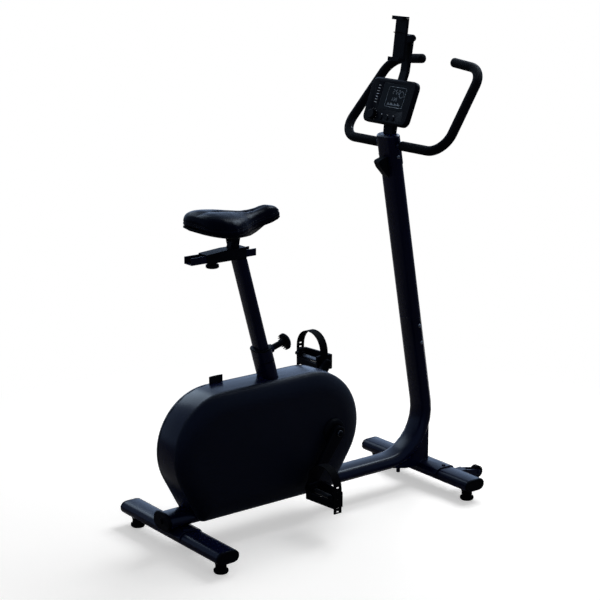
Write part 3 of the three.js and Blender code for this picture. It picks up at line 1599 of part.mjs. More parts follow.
function buildConsole() {
  add(mast, "console_bracket", consoleBracket(), mattePlastic());
  const face = group(mast, consoleBack, 0, consoleRise, consoleTilt);
  add(face, "console_housing", consoleHousing(), mattePlastic());
  add(face, "console_lens", consoleLens(), displayPlastic()).position.set(0, lensY, lensRise);
  add(face, "console_dial", consoleDial(), satinPlastic()).position.set(0, dialY, dialRise);
  for (const [name, y] of keyPlaces()) {
    add(face, `console_key_${name}`, consoleKey(), satinPlastic()).position.set(0, y, keyRise);
  }
}

// ---------------------------------------------------------------- tablet holder

// Lower edge of the console's face and, from it, the holder's hinge, in the bike's own frame.
function consoleFaceLow() {
  mast.updateMatrix();
  return at(consoleBack, 0, consoleRise).applyMatrix4(mast.matrix);
}
const holderHinge = () => consoleFaceLow().add(at(holderHingeAhead, 0, holderHingeRise));

// Arm that rises behind the console and ends in a round hinge boss.
function holderArm() {
  const turn = rad(consoleTilt - mastLean);
  const faceLow = consoleFaceLow();
  const back = (rise, depth) =>
    at(
      faceLow.x + depth * Math.cos(turn) + rise * Math.sin(turn),
      0,
      faceLow.z - depth * Math.sin(turn) + rise * Math.cos(turn),
    );
  const depth = consoleDepth + clearance + holderArmThickness / 2;
  const top = holderHinge();
  const corners = [back(consoleHeight - 50, depth), back(consoleHeight + 30, depth), top];
  const half = [holderArmWidth / 2, holderArmThickness / 2];
  const section = [[-1, -1], [1, -1], [1, 1], [-1, 1]].map(
    ([a, b]) => new THREE.Vector2(a * half[0], b * half[1]),
  );
  const arm = sweep(bentPath(corners, 30, 5), axisY, section);
  const boss = turnedAcross(rod(holderHingeRadius, -half[0], half[0]), 20).translate(top.x, 0, top.z);
  const bore = turnedAcross(rod(holderPinRadius + runningGap, -50, 50), 16);
  return cut(join(arm, boss), bore.translate(top.x, 0, top.z));
}

// Back plate, fixed lower ledge and the hinge ears, drawn about the hinge.
function holderPlate() {
  const lean = rad(holderLean);
  const half = holderPlateWidth / 2;
  const thick = holderPlateThickness;
  const plate = box(0, thick, -half, half, 0, holderPlateHeight);
  const ledge = box(-holderJawReach, thick, -half, half, -holderJawThickness, 0.5);
  const lip = box(-holderJawReach, 3 - holderJawReach, -half, half, -holderJawThickness, 6);
  const guide = half - holderTongueMargin;
  const slotLow = holderPlateHeight - holderTongueDepth - 5;
  const slotHalf = holderTongueThickness / 2 + clearance;
  const middle = thick / 2;
  const slot = box(middle - slotHalf, middle + slotHalf, -guide, guide, slotLow, holderPlateHeight + 5);
  const shaped = cut(join(plate, ledge, lip), slot);
  shaped.rotateY(lean).translate(-holderPlateBack, 0, -holderPlateDrop);
  const earInner = holderArmWidth / 2 + clearance;
  const ears = [-1, 1].map((sign) => {
    const reach = holderPlateBack - thick;
    const ear = across(taperedArm(holderEarRadius, holderEarRadius + 4, reach), holderEarThickness);
    return ear.rotateY(Math.PI).translate(0, sign * (earInner + holderEarThickness / 2), 0);
  });
  const pinEnd = earInner + holderEarThickness;
  const pin = turnedAcross(rod(holderPinRadius, -pinEnd, pinEnd), 16);
  const front = box(-holderPlateBack, thick - 1, -half, half, 0, holderPlateHeight);
  front.rotateY(lean).translate(-holderPlateBack, 0, -holderPlateDrop);
  return join(shaped, ...ears.map((ear) => cut(ear, front)), pin);
}

// Upper jaw: a tongue in the plate's slot under a hook that holds the tablet's top edge.
function holderJaw() {
  const lean = rad(holderLean);
  const half = holderPlateWidth / 2;
  const thick = holderPlateThickness;
  const guide = half - holderTongueMargin - clearance;
  const low = holderPlateHeight + clearance;
  const tongueHalf = holderTongueThickness / 2;
  const middle = thick / 2;
  const tongueLow = low - holderTongueDepth;
  const tongue = box(middle - tongueHalf, middle + tongueHalf, -guide, guide, tongueLow, low + 1);
  const hook = box(-holderJawReach, thick, -half, half, low, low + holderJawThickness);
  const lip = box(-holderJawReach, 3 - holderJawReach, -half, half, low - 6, low + 1);
  const jaw = join(tongue, hook, lip);
  return jaw.rotateY(lean).translate(-holderPlateBack, 0, -holderPlateDrop);
}

function buildHolder() {
  add(bike, "holder_arm", holderArm(), mattePlastic());
  const place = holderHinge();
  const hinge = group(bike, place.x, place.y, place.z);
  add(hinge, "holder_plate", holderPlate(), mattePlastic());
  add(hinge, "holder_jaw", holderJaw(), mattePlastic());
}

// ---------------------------------------------------------------- assembly

buildBase();
buildFrame();
buildWheels();
buildHousing();
buildSeatTube();
buildSeat();
buildDrive();
buildHandlebar();
buildConsole();
buildHolder();

export default bike;
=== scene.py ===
"""Finishes, soft parts, trim and studio for an upright exercise bike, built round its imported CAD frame."""

import json
import math

import bmesh
import bpy
import numpy as np
from bpy.props import FloatProperty, FloatVectorProperty, IntProperty, PointerProperty
from mathutils import Matrix, Vector
from mathutils.bvhtree import BVHTree


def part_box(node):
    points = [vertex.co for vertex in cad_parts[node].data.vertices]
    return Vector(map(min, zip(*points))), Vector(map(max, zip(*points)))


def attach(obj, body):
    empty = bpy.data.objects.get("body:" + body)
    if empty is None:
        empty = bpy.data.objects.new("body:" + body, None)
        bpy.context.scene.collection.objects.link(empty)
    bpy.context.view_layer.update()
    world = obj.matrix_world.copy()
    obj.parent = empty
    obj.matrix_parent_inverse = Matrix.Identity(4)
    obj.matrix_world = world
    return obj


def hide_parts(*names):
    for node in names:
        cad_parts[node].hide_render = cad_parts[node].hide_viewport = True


bl_info = {
    "name": "Exercise Bike Dressing",
    "version": (1, 1, 0),
    "blender": (4, 5, 0),
    "location": "3D View > Sidebar > Exercise Bike",
    "description": "Finishes, soft parts, trim and studio for an upright exercise bike",
    "category": "Object",
}

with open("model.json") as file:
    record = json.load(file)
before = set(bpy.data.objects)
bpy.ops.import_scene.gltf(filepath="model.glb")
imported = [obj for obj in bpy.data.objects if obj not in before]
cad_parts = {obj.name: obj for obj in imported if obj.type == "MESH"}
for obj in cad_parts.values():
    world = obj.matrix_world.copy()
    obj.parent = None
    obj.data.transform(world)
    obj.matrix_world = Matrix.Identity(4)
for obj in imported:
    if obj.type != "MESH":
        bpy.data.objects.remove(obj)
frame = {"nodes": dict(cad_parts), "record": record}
nodes = frame["nodes"]
body_of_node = {
    node: body
    for body, members in frame["record"]["behaviour"]["bodies"].items()
    for node in members
}
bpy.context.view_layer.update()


# ---------------- places on the bike

BEAM_Z = 0.0945
MAST_FOOT, MAST_LEAN = 0.935, math.radians(9.8)
SEAT_FOOT, SEAT_LEAN = 0.414, math.radians(15.2)
FACE_TILT = math.radians(21.4)
LENS_Y, LENS_RISE, LENS_HALF = -0.014, 0.082, 0.0015

SIDEWAYS = Vector((0, 1, 0))
UP = Vector((0, 0, 1))
SIDES = ((1, "left"), (-1, "right"))

rear_low, rear_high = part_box("rear_stabilizer")
REAR_X = (rear_low.x + rear_high.x) / 2


def spot(x, y, z):
    """A place measured forward from the rear stabilizer, to the rider's left, and up from the floor."""
    return Vector((REAR_X + x, y, z))


def middle(node):
    low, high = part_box(node)
    return (low + high) / 2


def underside(node):
    """The middle of a node's lowest face."""
    low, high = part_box(node)
    return Vector(((low.x + high.x) / 2, (low.y + high.y) / 2, low.z))


def leaning(foot, lean):
    """The direction ahead of a tube that leans back, and a function for places ahead, aside and up along it."""
    ahead = Vector((math.cos(lean), 0, math.sin(lean)))
    up = Vector((-math.sin(lean), 0, math.cos(lean)))
    return ahead, lambda a, y, h: spot(foot, y, BEAM_Z) + ahead * a + up * h


on_mast = leaning(MAST_FOOT, MAST_LEAN)[1]
SEAT_AHEAD, on_seat = leaning(SEAT_FOOT, SEAT_LEAN)
FACE_UP = Vector((math.sin(FACE_TILT), 0, math.cos(FACE_TILT)))
FACE_OUT = Vector((-math.cos(FACE_TILT), 0, math.sin(FACE_TILT)))


def on_face(out, y, rise):
    """A place on the console, measured out from its face and up from the face's lower edge."""
    lens = middle("console_lens") + FACE_OUT * LENS_HALF
    return lens + FACE_OUT * out + SIDEWAYS * (y - LENS_Y) + FACE_UP * (rise - LENS_RISE)


def arc(start, end, steps):
    """Cosine and sine at even steps of an angle, both ends included."""
    turns = (start + (end - start) * i / steps for i in range(steps + 1))
    return [(math.cos(turn), math.sin(turn)) for turn in turns]


# ---------------- settings


def number(name, description, default, **kind):
    return FloatProperty(name=name, description=description, default=default, **kind)


def length(name, description, metres):
    return number(name, description, metres, unit="LENGTH", precision=4)


def angle(name, description, degrees):
    return number(name, description, math.radians(degrees), subtype="ANGLE")


def power(name, description, watts):
    return number(name, description, watts, unit="POWER")


def share(name, description, default):
    return number(name, description, default, min=0, max=1, subtype="FACTOR")


def tone(name, description, default):
    return FloatVectorProperty(
        name=name, description=description, default=default, subtype="COLOR", min=0, max=1
    )


class BikeFinishSettings(bpy.types.PropertyGroup):
    paint: tone("Paint", "Navy powder coat of the tubes", (0.0005, 0.001, 0.0068))
    shell: tone("Band", "Satin band of the housing", (0.0005, 0.001, 0.0065))
    plastic: tone("Plastic", "Moulded covers and knobs", (0.0006, 0.0007, 0.0014))
    fabric: tone("Side cover", "Knitted side covers of the housing", (0.0002, 0.0005, 0.0022))
    rubber: tone("Rubber", "Feet, wheels and straps", (0.0009, 0.0009, 0.0012))
    vinyl: tone("Vinyl", "Saddle cover", (0.0003, 0.0005, 0.0026))
    foam: tone("Foam", "Handlebar grips", (0.0007, 0.0007, 0.0012))
    edge_round: length("Edge round", "Radius broken on a moulded edge", 0.0008)


class BikeHousingSettings(bpy.types.PropertyGroup):
    centre_x: length("Centre", "Housing's centre ahead of the rear stabilizer", 0.288)
    centre_z: length("Centre height", "Height of the end arcs' centres", 0.2775)
    half_span: length("Half span", "From the centre to each end arc's centre", 0.151)
    radius: length("End radius", "Radius of the two ends", 0.172)
    band_width: length("Band width", "Width of the band between the covers", 0.0814)
    cover_wall: length("Cover wall", "Thickness of the side covers", 0.0025)
    welt: length("Welt", "Radius of the cord sewn round each cover", 0.0011)
    stitch_pitch: length("Stitch pitch", "Distance from one stitch to the next", 0.0052)
    tag_width: length("Tag width", "Width of the bare woven tag", 0.045)
    tag_height: length("Tag height", "Height of the bare woven tag", 0.021)


class BikeSaddleSettings(bpy.types.PropertyGroup):
    voxel: length("Voxel", "Size of the skin's cells before it is inflated", 0.0055)
    swell: length("Swell", "Most that the skin may move outward", 0.005)
    pressure: number("Pressure", "Pressure inside the cover", 4.0, min=0)
    seam_depth: length("Seam depth", "Depth of the sewn grooves", 0.0014)
    stitch_pitch: length("Stitch pitch", "Distance from one stitch to the next", 0.0048)
    stitch_length: length("Stitch length", "Length of one stitch", 0.0034)
    fill: share("Fill", "How tight the foam is", 0.8)


class BikeBarSettings(bpy.types.PropertyGroup):
    grip_radius: length("Grip radius", "Radius over the foam", 0.0142)
    half_width: length("Half width", "Half width of the bar at its bottom", 0.2297)
    top_half_width: length("Top half width", "Half width of the bar at its top", 0.1994)
    reach: length("Reach", "Length of the bar's sides", 0.2825)
    tip_y: length("Tip", "Distance of each tip from the middle", 0.075)
    tip_rise: length("Tip rise", "Rise of each tip above its bend", 0.0122)
    lower_bend: length("Lower bend", "Radius of the lower bends", 0.0609)
    upper_bend: length("Upper bend", "Radius of the upper bends", 0.0634)
    grip_start: length("Grip start", "Where each grip begins, from the middle", 0.052)
    height: length("Height", "Bar above the beam, along the mast", 0.999)
    ahead: length("Ahead", "Bar ahead of the mast's centre line", 0.0036)
    tilt: angle("Tilt", "Forward tilt of the bar's plane from vertical", 38.4)


class BikeTrimSettings(bpy.types.PropertyGroup):
    knob_ribs: IntProperty(name="Knob ribs", description="Ribs round a knob", default=20, min=3)
    tooth_pitch: length("Tread pitch", "Distance between the pedal's teeth", 0.0065)
    tooth_height: length("Tread height", "Height of the pedal's teeth", 0.002)
    screw_radius: length("Screw radius", "Radius of a button head", 0.005)
    bead_pitch: length("Weld pitch", "Distance from one weld ripple to the next", 0.0022)
    bead_width: length("Weld width", "Width of a weld bead", 0.006)


class BikeStudioSettings(bpy.types.PropertyGroup):
    camera_back: length("Camera back", "Camera behind the rear stabilizer", 2.445865)
    camera_right: length("Camera right", "Camera to the rider's right", 3.753049)
    camera_height: length("Camera height", "Camera above the floor", 1.865277)
    camera_turn: angle("Camera turn", "Heading from straight ahead to the left", 52.49277)
    camera_dip: angle("Camera dip", "How far the camera looks down", 14.41776)
    focal_length: number("Focal length", "In millimetres", 101.58, unit="CAMERA")
    shift: number("Shift", "Upward shift of the view", 0.00484)
    key_power: power("Key", "Power of the lamp overhead", 75)
    streak_power: power("Streak", "Power of the lamp that only draws bright lines on near edges", 250)
    rim_power: power("Rim", "Power of the lamp that only draws bright rims on the far side", 100)
    sky_light: share("Sky light", "Strength of the even light from all round", 0.35)
    sky_shine: tone("Sky shine", "What smooth faces mirror from above the floor", (0.5, 0.68, 1.0))
    shine_level: number("Shine level", "Strength of that mirrored sky", 3.2, min=0)
    shine_tone: tone("Shine tone", "Colour of the two lamps that only shine", (0.68, 0.84, 1.0))
    floor_lift: share("Floor lift", "Glow added to the floor where it is seen", 0.42)
    floor_tone: tone("Floor", "Floor and backdrop", (0.8, 0.8, 0.8))


# ---------------- node helpers

SOCKETS = {float: "NodeSocketFloat", int: "NodeSocketInt", tuple: "NodeSocketVector"}
ORIGIN = (0.0, 0.0, 0.0)


def join(tree, socket, value):
    """Links a socket to a given output or to a node's first one, or sets it to a plain value."""
    if isinstance(value, bpy.types.Node):
        value = value.outputs[0]
    if isinstance(value, bpy.types.NodeSocket):
        tree.links.new(value, socket)
    else:
        socket.default_value = value


def feed(tree, node, **given):
    """Links or sets a node's inputs by their labels."""
    for label, value in given.items():
        join(tree, node.inputs[label.replace("_", " ")], value)
    return node


def feed_in_order(tree, node, *values):
    for socket, value in zip(node.inputs, values):
        join(tree, socket, value)
    return node


def step(tree, kind, settings=None, **given):
    """Adds a node, sets its options, and feeds its inputs."""
    node = tree.nodes.new(kind)
    for key, value in (settings or {}).items():
        setattr(node, key, value)
    return feed(tree, node, **given)


def node_tree(name, kind, inputs, outputs):
    """A node group with named sockets; a socket's kind follows from its first value, or is written out."""
    tree = bpy.data.node_groups.new(name, kind)
    for label, value in inputs.items():
        written_out = isinstance(value, str)
        kind_of_socket = value if written_out else SOCKETS[type(value)]
        socket = tree.interface.new_socket(label, in_out="INPUT", socket_type=kind_of_socket)
        if not written_out:
            socket.default_value = value
    for label, kind_of_socket in outputs.items():
        tree.interface.new_socket(label, in_out="OUTPUT", socket_type=kind_of_socket)
    return tree, tree.nodes.new("NodeGroupInput").outputs, tree.nodes.new("NodeGroupOutput")


def maths(tree, operation, *values, kind="ShaderNodeMath", **settings):
    return feed_in_order(tree, step(tree, kind, {"operation": operation, **settings}), *values)


def times(tree, first, second, **settings):
    return maths(tree, "MULTIPLY", first, second, **settings)


def mapped(tree, value, low, high, to_low=0.0, to_high=1.0):
    return step(
        tree, "ShaderNodeMapRange", Value=value, From_Min=low, From_Max=high, To_Min=to_low, To_Max=to_high
    )


def noise(tree, vector, scale, detail=3.0, roughness=0.5, output="Fac"):
    return step(
        tree, "ShaderNodeTexNoise", Vector=vector, Scale=scale, Detail=detail, Roughness=roughness
    ).outputs[output]


# ---------------- shader groups

WEAR_TINT = (0.02, 0.024, 0.036)
DUST_TINT = (0.2, 0.2, 0.2)
SHARED = {}


def shader_group(name, outputs, **inputs):
    """A shader group that reads a position on the piece and puts out plain values."""
    return node_tree(
        name, "ShaderNodeTree", {"Position": ORIGIN, **inputs}, dict.fromkeys(outputs, "NodeSocketFloat")
    )


def grain_group():
    """Fine moulded or sprayed texture: a height, and a roughness and shade that wander over the surface."""
    tree, given, result = shader_group(
        "Surface Grain", ("Height", "Roughness", "Shade"), Scale=900.0, Roughness=0.4, Wander=0.06
    )
    place = given["Position"]
    slow = noise(tree, place, 9.0, 4.0)
    smear = noise(tree, place, 55.0, 5.0, 0.65)
    spread = times(tree, maths(tree, "SUBTRACT", maths(tree, "ADD", slow, smear), 1.0), given["Wander"])
    feed(
        tree, result, Height=noise(tree, place, given["Scale"], 2.0),
        Roughness=maths(tree, "ADD", given["Roughness"], times(tree, spread, 2.5), use_clamp=True),
        Shade=mapped(tree, slow, 0.3, 0.7, 0.82, 1.18),
    )
    return tree


def wear_group():
    """Light use: convex edges rubbed in patches, and a few fine hairline scratches."""
    tree, given, result = shader_group("Light Wear", ["Mask"], Amount=0.3)
    place = given["Position"]
    edges = mapped(tree, tree.nodes.new("ShaderNodeNewGeometry").outputs["Pointiness"], 0.53, 0.64)
    patches = mapped(tree, noise(tree, place, 160.0, 5.0, 0.7), 0.5, 0.68)
    rubbed = times(tree, edges, patches, use_clamp=True)
    stretched = step(
        tree, "ShaderNodeMapping", Vector=place, Scale=(40.0, 900.0, 220.0), Rotation=(0.3, 0.5, 0.7)
    )
    hairs = mapped(tree, noise(tree, stretched, 1.0, 2.0), 0.74, 0.8, 0.0, 0.5)
    total = maths(tree, "MAXIMUM", rubbed, hairs)
    feed(tree, result, Mask=times(tree, total, given["Amount"], use_clamp=True))
    return tree


def dust_group():
    """Fine dust that settles on faces turned up."""
    tree, given, result = shader_group("Settled Dust", ["Mask"], Amount=0.05)
    facing = tree.nodes.new("ShaderNodeNewGeometry").outputs["Normal"]
    upward = mapped(tree, step(tree, "ShaderNodeSeparateXYZ", Vector=facing).outputs["Z"], 0.6, 1.0)
    cloud = mapped(tree, noise(tree, given["Position"], 30.0, 6.0, 0.65), 0.35, 0.7)
    settled = times(tree, upward, cloud, use_clamp=True)
    feed(tree, result, Mask=times(tree, settled, given["Amount"], use_clamp=True))
    return tree


def finish(name, tint, roughness, grain_scale, bump, bump_distance=0.0002, ior=1.45, wear=0.0, dust=0.0,
           wander=0.05, pattern=None, **sockets):
    """A Principled material with grain, light wear and dust, all on Object coordinates, and a lighter copy of its
    tint where its pattern says: the coat's flakes, and a painted highlight on raised pebbles and yarn.
    """
    material = bpy.data.materials.new(name)
    material.use_nodes = True
    tree = material.node_tree
    shader = tree.nodes["Principled BSDF"]
    place = tree.nodes.new("ShaderNodeTexCoord").outputs["Object"]

    def use(group, **values):
        return step(tree, "ShaderNodeGroup", {"node_tree": SHARED[group]}, Position=place, **values).outputs

    def mix(mask, below, above):
        node = step(tree, "ShaderNodeMix", {"data_type": "RGBA"}, Factor=mask)
        join(tree, node.inputs[6], below)
        join(tree, node.inputs[7], (*above, 1))
        return node.outputs[2]

    grain = use("grain", Scale=grain_scale, Roughness=roughness, Wander=wander)
    height = grain["Height"]
    colour = step(tree, "ShaderNodeVectorMath", {"operation": "SCALE"}, Vector=tuple(tint), Scale=grain["Shade"])
    if pattern:
        height, lights = pattern(tree, place, height)
        # Lighter copy of the tint: the paint's own flakes, and a painted highlight on raised pebbles and yarn.
        colour = mix(lights, colour, tuple(min(1.0, 2.2 * channel) for channel in tint))
    if wear > 0:
        colour = mix(use("wear", Amount=wear)["Mask"], colour, WEAR_TINT)
    if dust > 0:
        colour = mix(use("dust", Amount=dust)["Mask"], colour, DUST_TINT)
    if bump > 0:
        feed(tree, shader, Normal=step(
            tree, "ShaderNodeBump", Strength=bump, Distance=bump_distance, Height=height
        ))
    feed(tree, shader, Base_Color=colour, Roughness=grain["Roughness"], IOR=ior, **sockets)
    return material


def cells(scale, strength):
    """Leather-like pebbles: adds them to a height, and gives their tops as a mask for a painted highlight, which
    leaves the grooves between them as painted shade.
    """
    def build(tree, place, height):
        cloud = noise(tree, place, scale * 0.4, 2.0, output="Color")
        drift = times(tree, cloud, (0.002,) * 3, kind="ShaderNodeVectorMath")
        warped = maths(tree, "ADD", place, drift, kind="ShaderNodeVectorMath")
        edge = step(
            tree, "ShaderNodeTexVoronoi", {"feature": "DISTANCE_TO_EDGE"}, Vector=warped, Scale=scale
        )
        pebbles = mapped(tree, edge, 0.0, 0.25, 0.0, strength)
        # Painted highlight on the pebble tops, fading to painted shade in the grooves.
        return maths(tree, "ADD", height, pebbles), mapped(tree, edge, 0.1, 0.4, 0.0, 0.35)
    return build


def knit(pitch, strength):
    """A fine knit of small loops in rows: adds it to a height, and gives its raised yarn as a mask for a painted
    highlight, which leaves the hollows between loops as painted shade.
    """
    def build(tree, place, height):
        parts = step(tree, "ShaderNodeSeparateXYZ", Vector=place).outputs
        row, column = (times(tree, parts[axis], math.pi / pitch) for axis in "ZX")
        wobble = times(tree, noise(tree, place, 90.0, 2.0), 2.0)
        across = maths(tree, "SINE", maths(tree, "ADD", column, wobble))
        along = maths(tree, "SINE", maths(tree, "ADD", row, times(tree, across, 0.8)))
        loops = times(tree, maths(tree, "ABSOLUTE", across), maths(tree, "ABSOLUTE", along))
        # Painted highlight on the raised yarn, with painted shade in the hollows between loops.
        return maths(tree, "ADD", height, times(tree, loops, strength)), times(tree, loops, 0.6)
    return build


def orange_peel(scale, strength):
    """The slow ripple of a sprayed coat: adds it to a height, and gives faint lighter flakes as a mask."""
    def build(tree, place, height):
        ripple = times(tree, noise(tree, place, scale, 1.0), strength)
        flakes = step(tree, "ShaderNodeTexVoronoi", Vector=place, Scale=2600.0)
        return maths(tree, "ADD", height, ripple), mapped(tree, flakes, 0.0, 0.35, 0.6, 0.0)
    return build


def make_finishes():
    """Every finish by its short name: tint, roughness, grain scale, bump, and what differs from plain."""
    SHARED.update(grain=grain_group(), wear=wear_group(), dust=dust_group())
    tones = bpy.context.scene.bike_finish
    return {
        "paint": finish(
            "navy_powder_coat", tones.paint, 0.26, 1400, 0.14, ior=1.09, wear=0.05, dust=0.004,
            pattern=orange_peel(240, 1.2),
        ),
        "satin": finish(
            "satin_navy_band", tones.shell, 0.26, 2200, 0.1, 0.00015, ior=1.09, wear=0.03, dust=0.004,
            wander=0.04, pattern=orange_peel(420, 0.6),
        ),
        "plastic": finish(
            "black_moulded_plastic", tones.plastic, 0.42, 2000, 0.3, ior=1.045, wear=0.05, dust=0.004,
            pattern=cells(1500, 0.5),
        ),
        "fabric": finish(
            "knitted_side_cover", tones.fabric, 0.4, 2600, 0.25, 0.0003, ior=1.08, wander=0.02,
            pattern=knit(0.0013, 1.4), Sheen_Weight=0.05, Sheen_Roughness=0.4, Sheen_Tint=(0.55, 0.7, 1.0, 1.0),
        ),
        "rubber": finish(
            "black_rubber", tones.rubber, 0.7, 1500, 0.4, 0.0003, ior=1.035, wear=0.04, dust=0.01,
            pattern=cells(900, 0.4),
        ),
        "foam": finish(
            "closed_cell_foam", tones.foam, 0.6, 1100, 0.5, 0.0005, ior=1.04, pattern=cells(800, 0.8)
        ),
        "vinyl": finish(
            "saddle_vinyl", tones.vinyl, 0.26, 1600, 0.1, 0.0003, ior=1.035, dust=0.003, wander=0.06,
            pattern=cells(520, 1.0),
        ),
        "steel": finish("bare_steel", (0.55, 0.56, 0.58), 0.24, 700, 0.1, 0.0001, dust=0.01, Metallic=1.0),
        "iron": finish("cast_iron", (0.16, 0.165, 0.175), 0.55, 500, 0.4, 0.0004, dust=0.03, Metallic=0.9),
        "thread": finish("navy_thread", (0.002, 0.003, 0.007), 0.6, 3000, 0.3, 0.0001, ior=1.1),
        "label": finish(
            "woven_tag", (0.0012, 0.0013, 0.002), 0.7, 3000, 0.5, ior=1.08, pattern=knit(0.0006, 1.0)
        ),
        "bolt": finish(
            "black_oxide_steel", (0.02, 0.021, 0.024), 0.3, 900, 0.1, 0.0001, wear=0.2, dust=0.03, Metallic=0.9
        ),
        "lens": finish("display_window", (0.0015, 0.0022, 0.0028), 0.12, 500, 0.0, ior=1.07),
        "segments": finish("display_segments", (0.1, 0.12, 0.135), 0.4, 500, 0.0, ior=1.3),
        "printing": finish("grey_printing", (0.34, 0.35, 0.36), 0.5, 900, 0.0),
    }


FINISHES = {}


# ---------------- mesh helpers

MERGE = 2e-6
FLAT = math.radians(0.4)


def link(name, mesh):
    """A new object at the origin."""
    piece = bpy.data.objects.new(name, mesh)
    bpy.context.scene.collection.objects.link(piece)
    return piece


def raw(name, points, edges=(), faces=()):
    """A piece from plain lists of places, edges and faces."""
    mesh = bpy.data.meshes.new(name)
    mesh.from_pydata([tuple(place) for place in points], edges, faces)
    return link(name, mesh)


def cast(name, form):
    """A piece from a form under construction."""
    mesh = bpy.data.meshes.new(name)
    form.to_mesh(mesh)
    form.free()
    return link(name, mesh)


def bridge(form, loops):
    """Faces between each closed loop of points and the next."""
    for below, above in zip(loops, loops[1:]):
        for i in range(len(below)):
            j = (i + 1) % len(below)
            form.faces.new((below[i], below[j], above[j], above[i]))


def pairs(loop):
    return zip(loop, loop[1:] + loop[:1])


def apply_modifiers(piece):
    """Turns a piece and its modifiers into a plain mesh."""
    bpy.context.view_layer.update()
    plain = bpy.data.meshes.new_from_object(piece.evaluated_get(bpy.context.evaluated_depsgraph_get()))
    piece.modifiers.clear()
    piece.data = plain
    return piece


def shaped(piece, kind, **settings):
    """Runs one modifier on a piece and keeps the mesh that it makes."""
    modifier = piece.modifiers.new(kind, kind)
    for key, value in settings.items():
        setattr(modifier, key, value)
    return apply_modifiers(piece)


def smooth_by_angle(mesh, degrees):
    mesh.shade_smooth()
    mesh.set_sharp_from_angle(angle=math.radians(degrees))


def ride(piece, body):
    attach(piece, body)
    return piece


def stand_for(node, piece, finish_name):
    """Gives a piece its material, and lets it ride in a CAD node's place."""
    piece.data.materials.append(FINISHES[finish_name])
    ride(piece, body_of_node[node])
    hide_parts(node)
    return piece


def merged(node):
    """A copy of a CAD node's mesh with its doubles merged and its flat faces whole."""
    mesh = nodes[node].data.copy()
    mesh.materials.clear()
    form = bmesh.new()
    form.from_mesh(mesh)
    bmesh.ops.remove_doubles(form, verts=form.verts, dist=MERGE)
    bmesh.ops.dissolve_limit(form, angle_limit=FLAT, verts=form.verts, edges=form.edges)
    form.to_mesh(mesh)
    form.free()
    return mesh


def dress(node, finish_name, slot, edge=None, smooth=38):
    """A piece that stands for a CAD node: its own shape, with broken edges and smooth curves."""
    piece = link(f"{node}_dressed", merged(node))
    smooth_by_angle(piece.data, smooth)
    shaped(
        piece, "BEVEL", width=edge or bpy.context.scene.bike_finish.edge_round, segments=2, limit_method="ANGLE",
        angle_limit=math.radians(smooth), harden_normals=True,
    )
    return stand_for(node, piece, finish_name)


def dress_all(finish_name, slot, *names, **options):
    for node in names:
        dress(node, finish_name, slot, **options)


def both(stem):
    return [f"{stem}_left", f"{stem}_right"]


def wire(name, paths):
    """Lines of places for a node tree to follow; a path that ends where it starts is a closed loop."""
    points, edges = [], []
    for path in paths:
        closed = (Vector(path[0]) - Vector(path[-1])).length < 1e-6
        kept = path[:-1] if closed else path
        first = len(points)
        points += kept
        edges += [(first + i, first + i + 1) for i in range(len(kept) - 1)]
        if closed:
            edges.append((len(points) - 1, first))
    return raw(name, points, edges)


def places(name, spots, facing):
    """Loose points, each with the direction that the thing placed there faces."""
    piece = raw(name, spots)
    directions = piece.data.attributes.new("facing", "FLOAT_VECTOR", "POINT")
    for item, direction in zip(directions.data, facing):
        item.vector = direction
    return piece


def as_array(places_or_normals):
    return np.array([tuple(item) for item in places_or_normals])


def even(path, pitch):
    """The same line with its places an equal distance apart."""
    line = as_array(path)
    along = np.concatenate([[0], np.cumsum(np.linalg.norm(np.diff(line, axis=0), axis=1))])
    where = np.linspace(0, along[-1], max(2, round(along[-1] / pitch) + 1))
    return [Vector(place) for place in np.stack([np.interp(where, along, line[:, k]) for k in range(3)], axis=1)]


# ---------------- geometry trees

TREES = {}


def growing_tree(name, **inputs):
    return node_tree(
        name, "GeometryNodeTree", {"Geometry": "NodeSocketGeometry", **inputs, "Material": "NodeSocketMaterial"},
        {"Geometry": "NodeSocketGeometry"},
    )


def close_tree(tree, given, result, geometry):
    """Makes real geometry of what a tree has grown, and paints it."""
    plain = step(tree, "GeometryNodeRealizeInstances", Geometry=geometry)
    painted = step(tree, "GeometryNodeSetMaterial", Geometry=plain, Material=given["Material"])
    join(tree, result.inputs[0], painted)
    return tree


def scatter(tree, points, thing, turn, scale):
    """One turned and scaled copy of a thing at each point."""
    return step(
        tree, "GeometryNodeInstanceOnPoints", Points=points, Instance=thing, Rotation=turn, Scale=scale
    )


def ball(tree, segments, rings, radius):
    return step(tree, "GeometryNodeMeshUVSphere", Segments=segments, Rings=rings, Radius=radius)


def facing_turn(tree, axis, direction):
    return step(tree, "FunctionNodeAlignRotationToVector", {"axis": axis}, Vector=direction)


def bead_tree():
    """Small rounded bars laid end to end along every line: stitches, weld ripples, ribs on a pad."""
    tree, given, result = growing_tree("Rows of Beads", Pitch=0.005, Size=(0.001, 0.001, 0.004))
    line = step(tree, "GeometryNodeMeshToCurve", Mesh=given["Geometry"])
    points = step(
        tree, "GeometryNodeCurveToPoints", {"mode": "LENGTH"}, Curve=line, Length=given["Pitch"]
    ).outputs
    copies = scatter(tree, points["Points"], ball(tree, 8, 6, 0.5), points["Rotation"], given["Size"])
    return close_tree(tree, given, result, copies)


def cord_tree():
    """A round bead of constant thickness along every line, with its corners rounded off."""
    tree, given, result = growing_tree("Welt", Radius=0.001, Bend=0.0, Sides=10)
    line = step(tree, "GeometryNodeMeshToCurve", Mesh=given["Geometry"])
    bend = step(
        tree, "GeometryNodeFilletCurve", {"mode": "POLY"}, Curve=line, Radius=given["Bend"], Count=8,
        Limit_Radius=True,
    )
    profile = step(
        tree, "GeometryNodeCurvePrimitiveCircle", {"mode": "RADIUS"}, Resolution=given["Sides"],
        Radius=given["Radius"],
    )
    skin = step(
        tree, "GeometryNodeCurveToMesh", Curve=bend, Profile_Curve=profile, Fill_Caps=True
    )
    return close_tree(tree, given, result, skin)


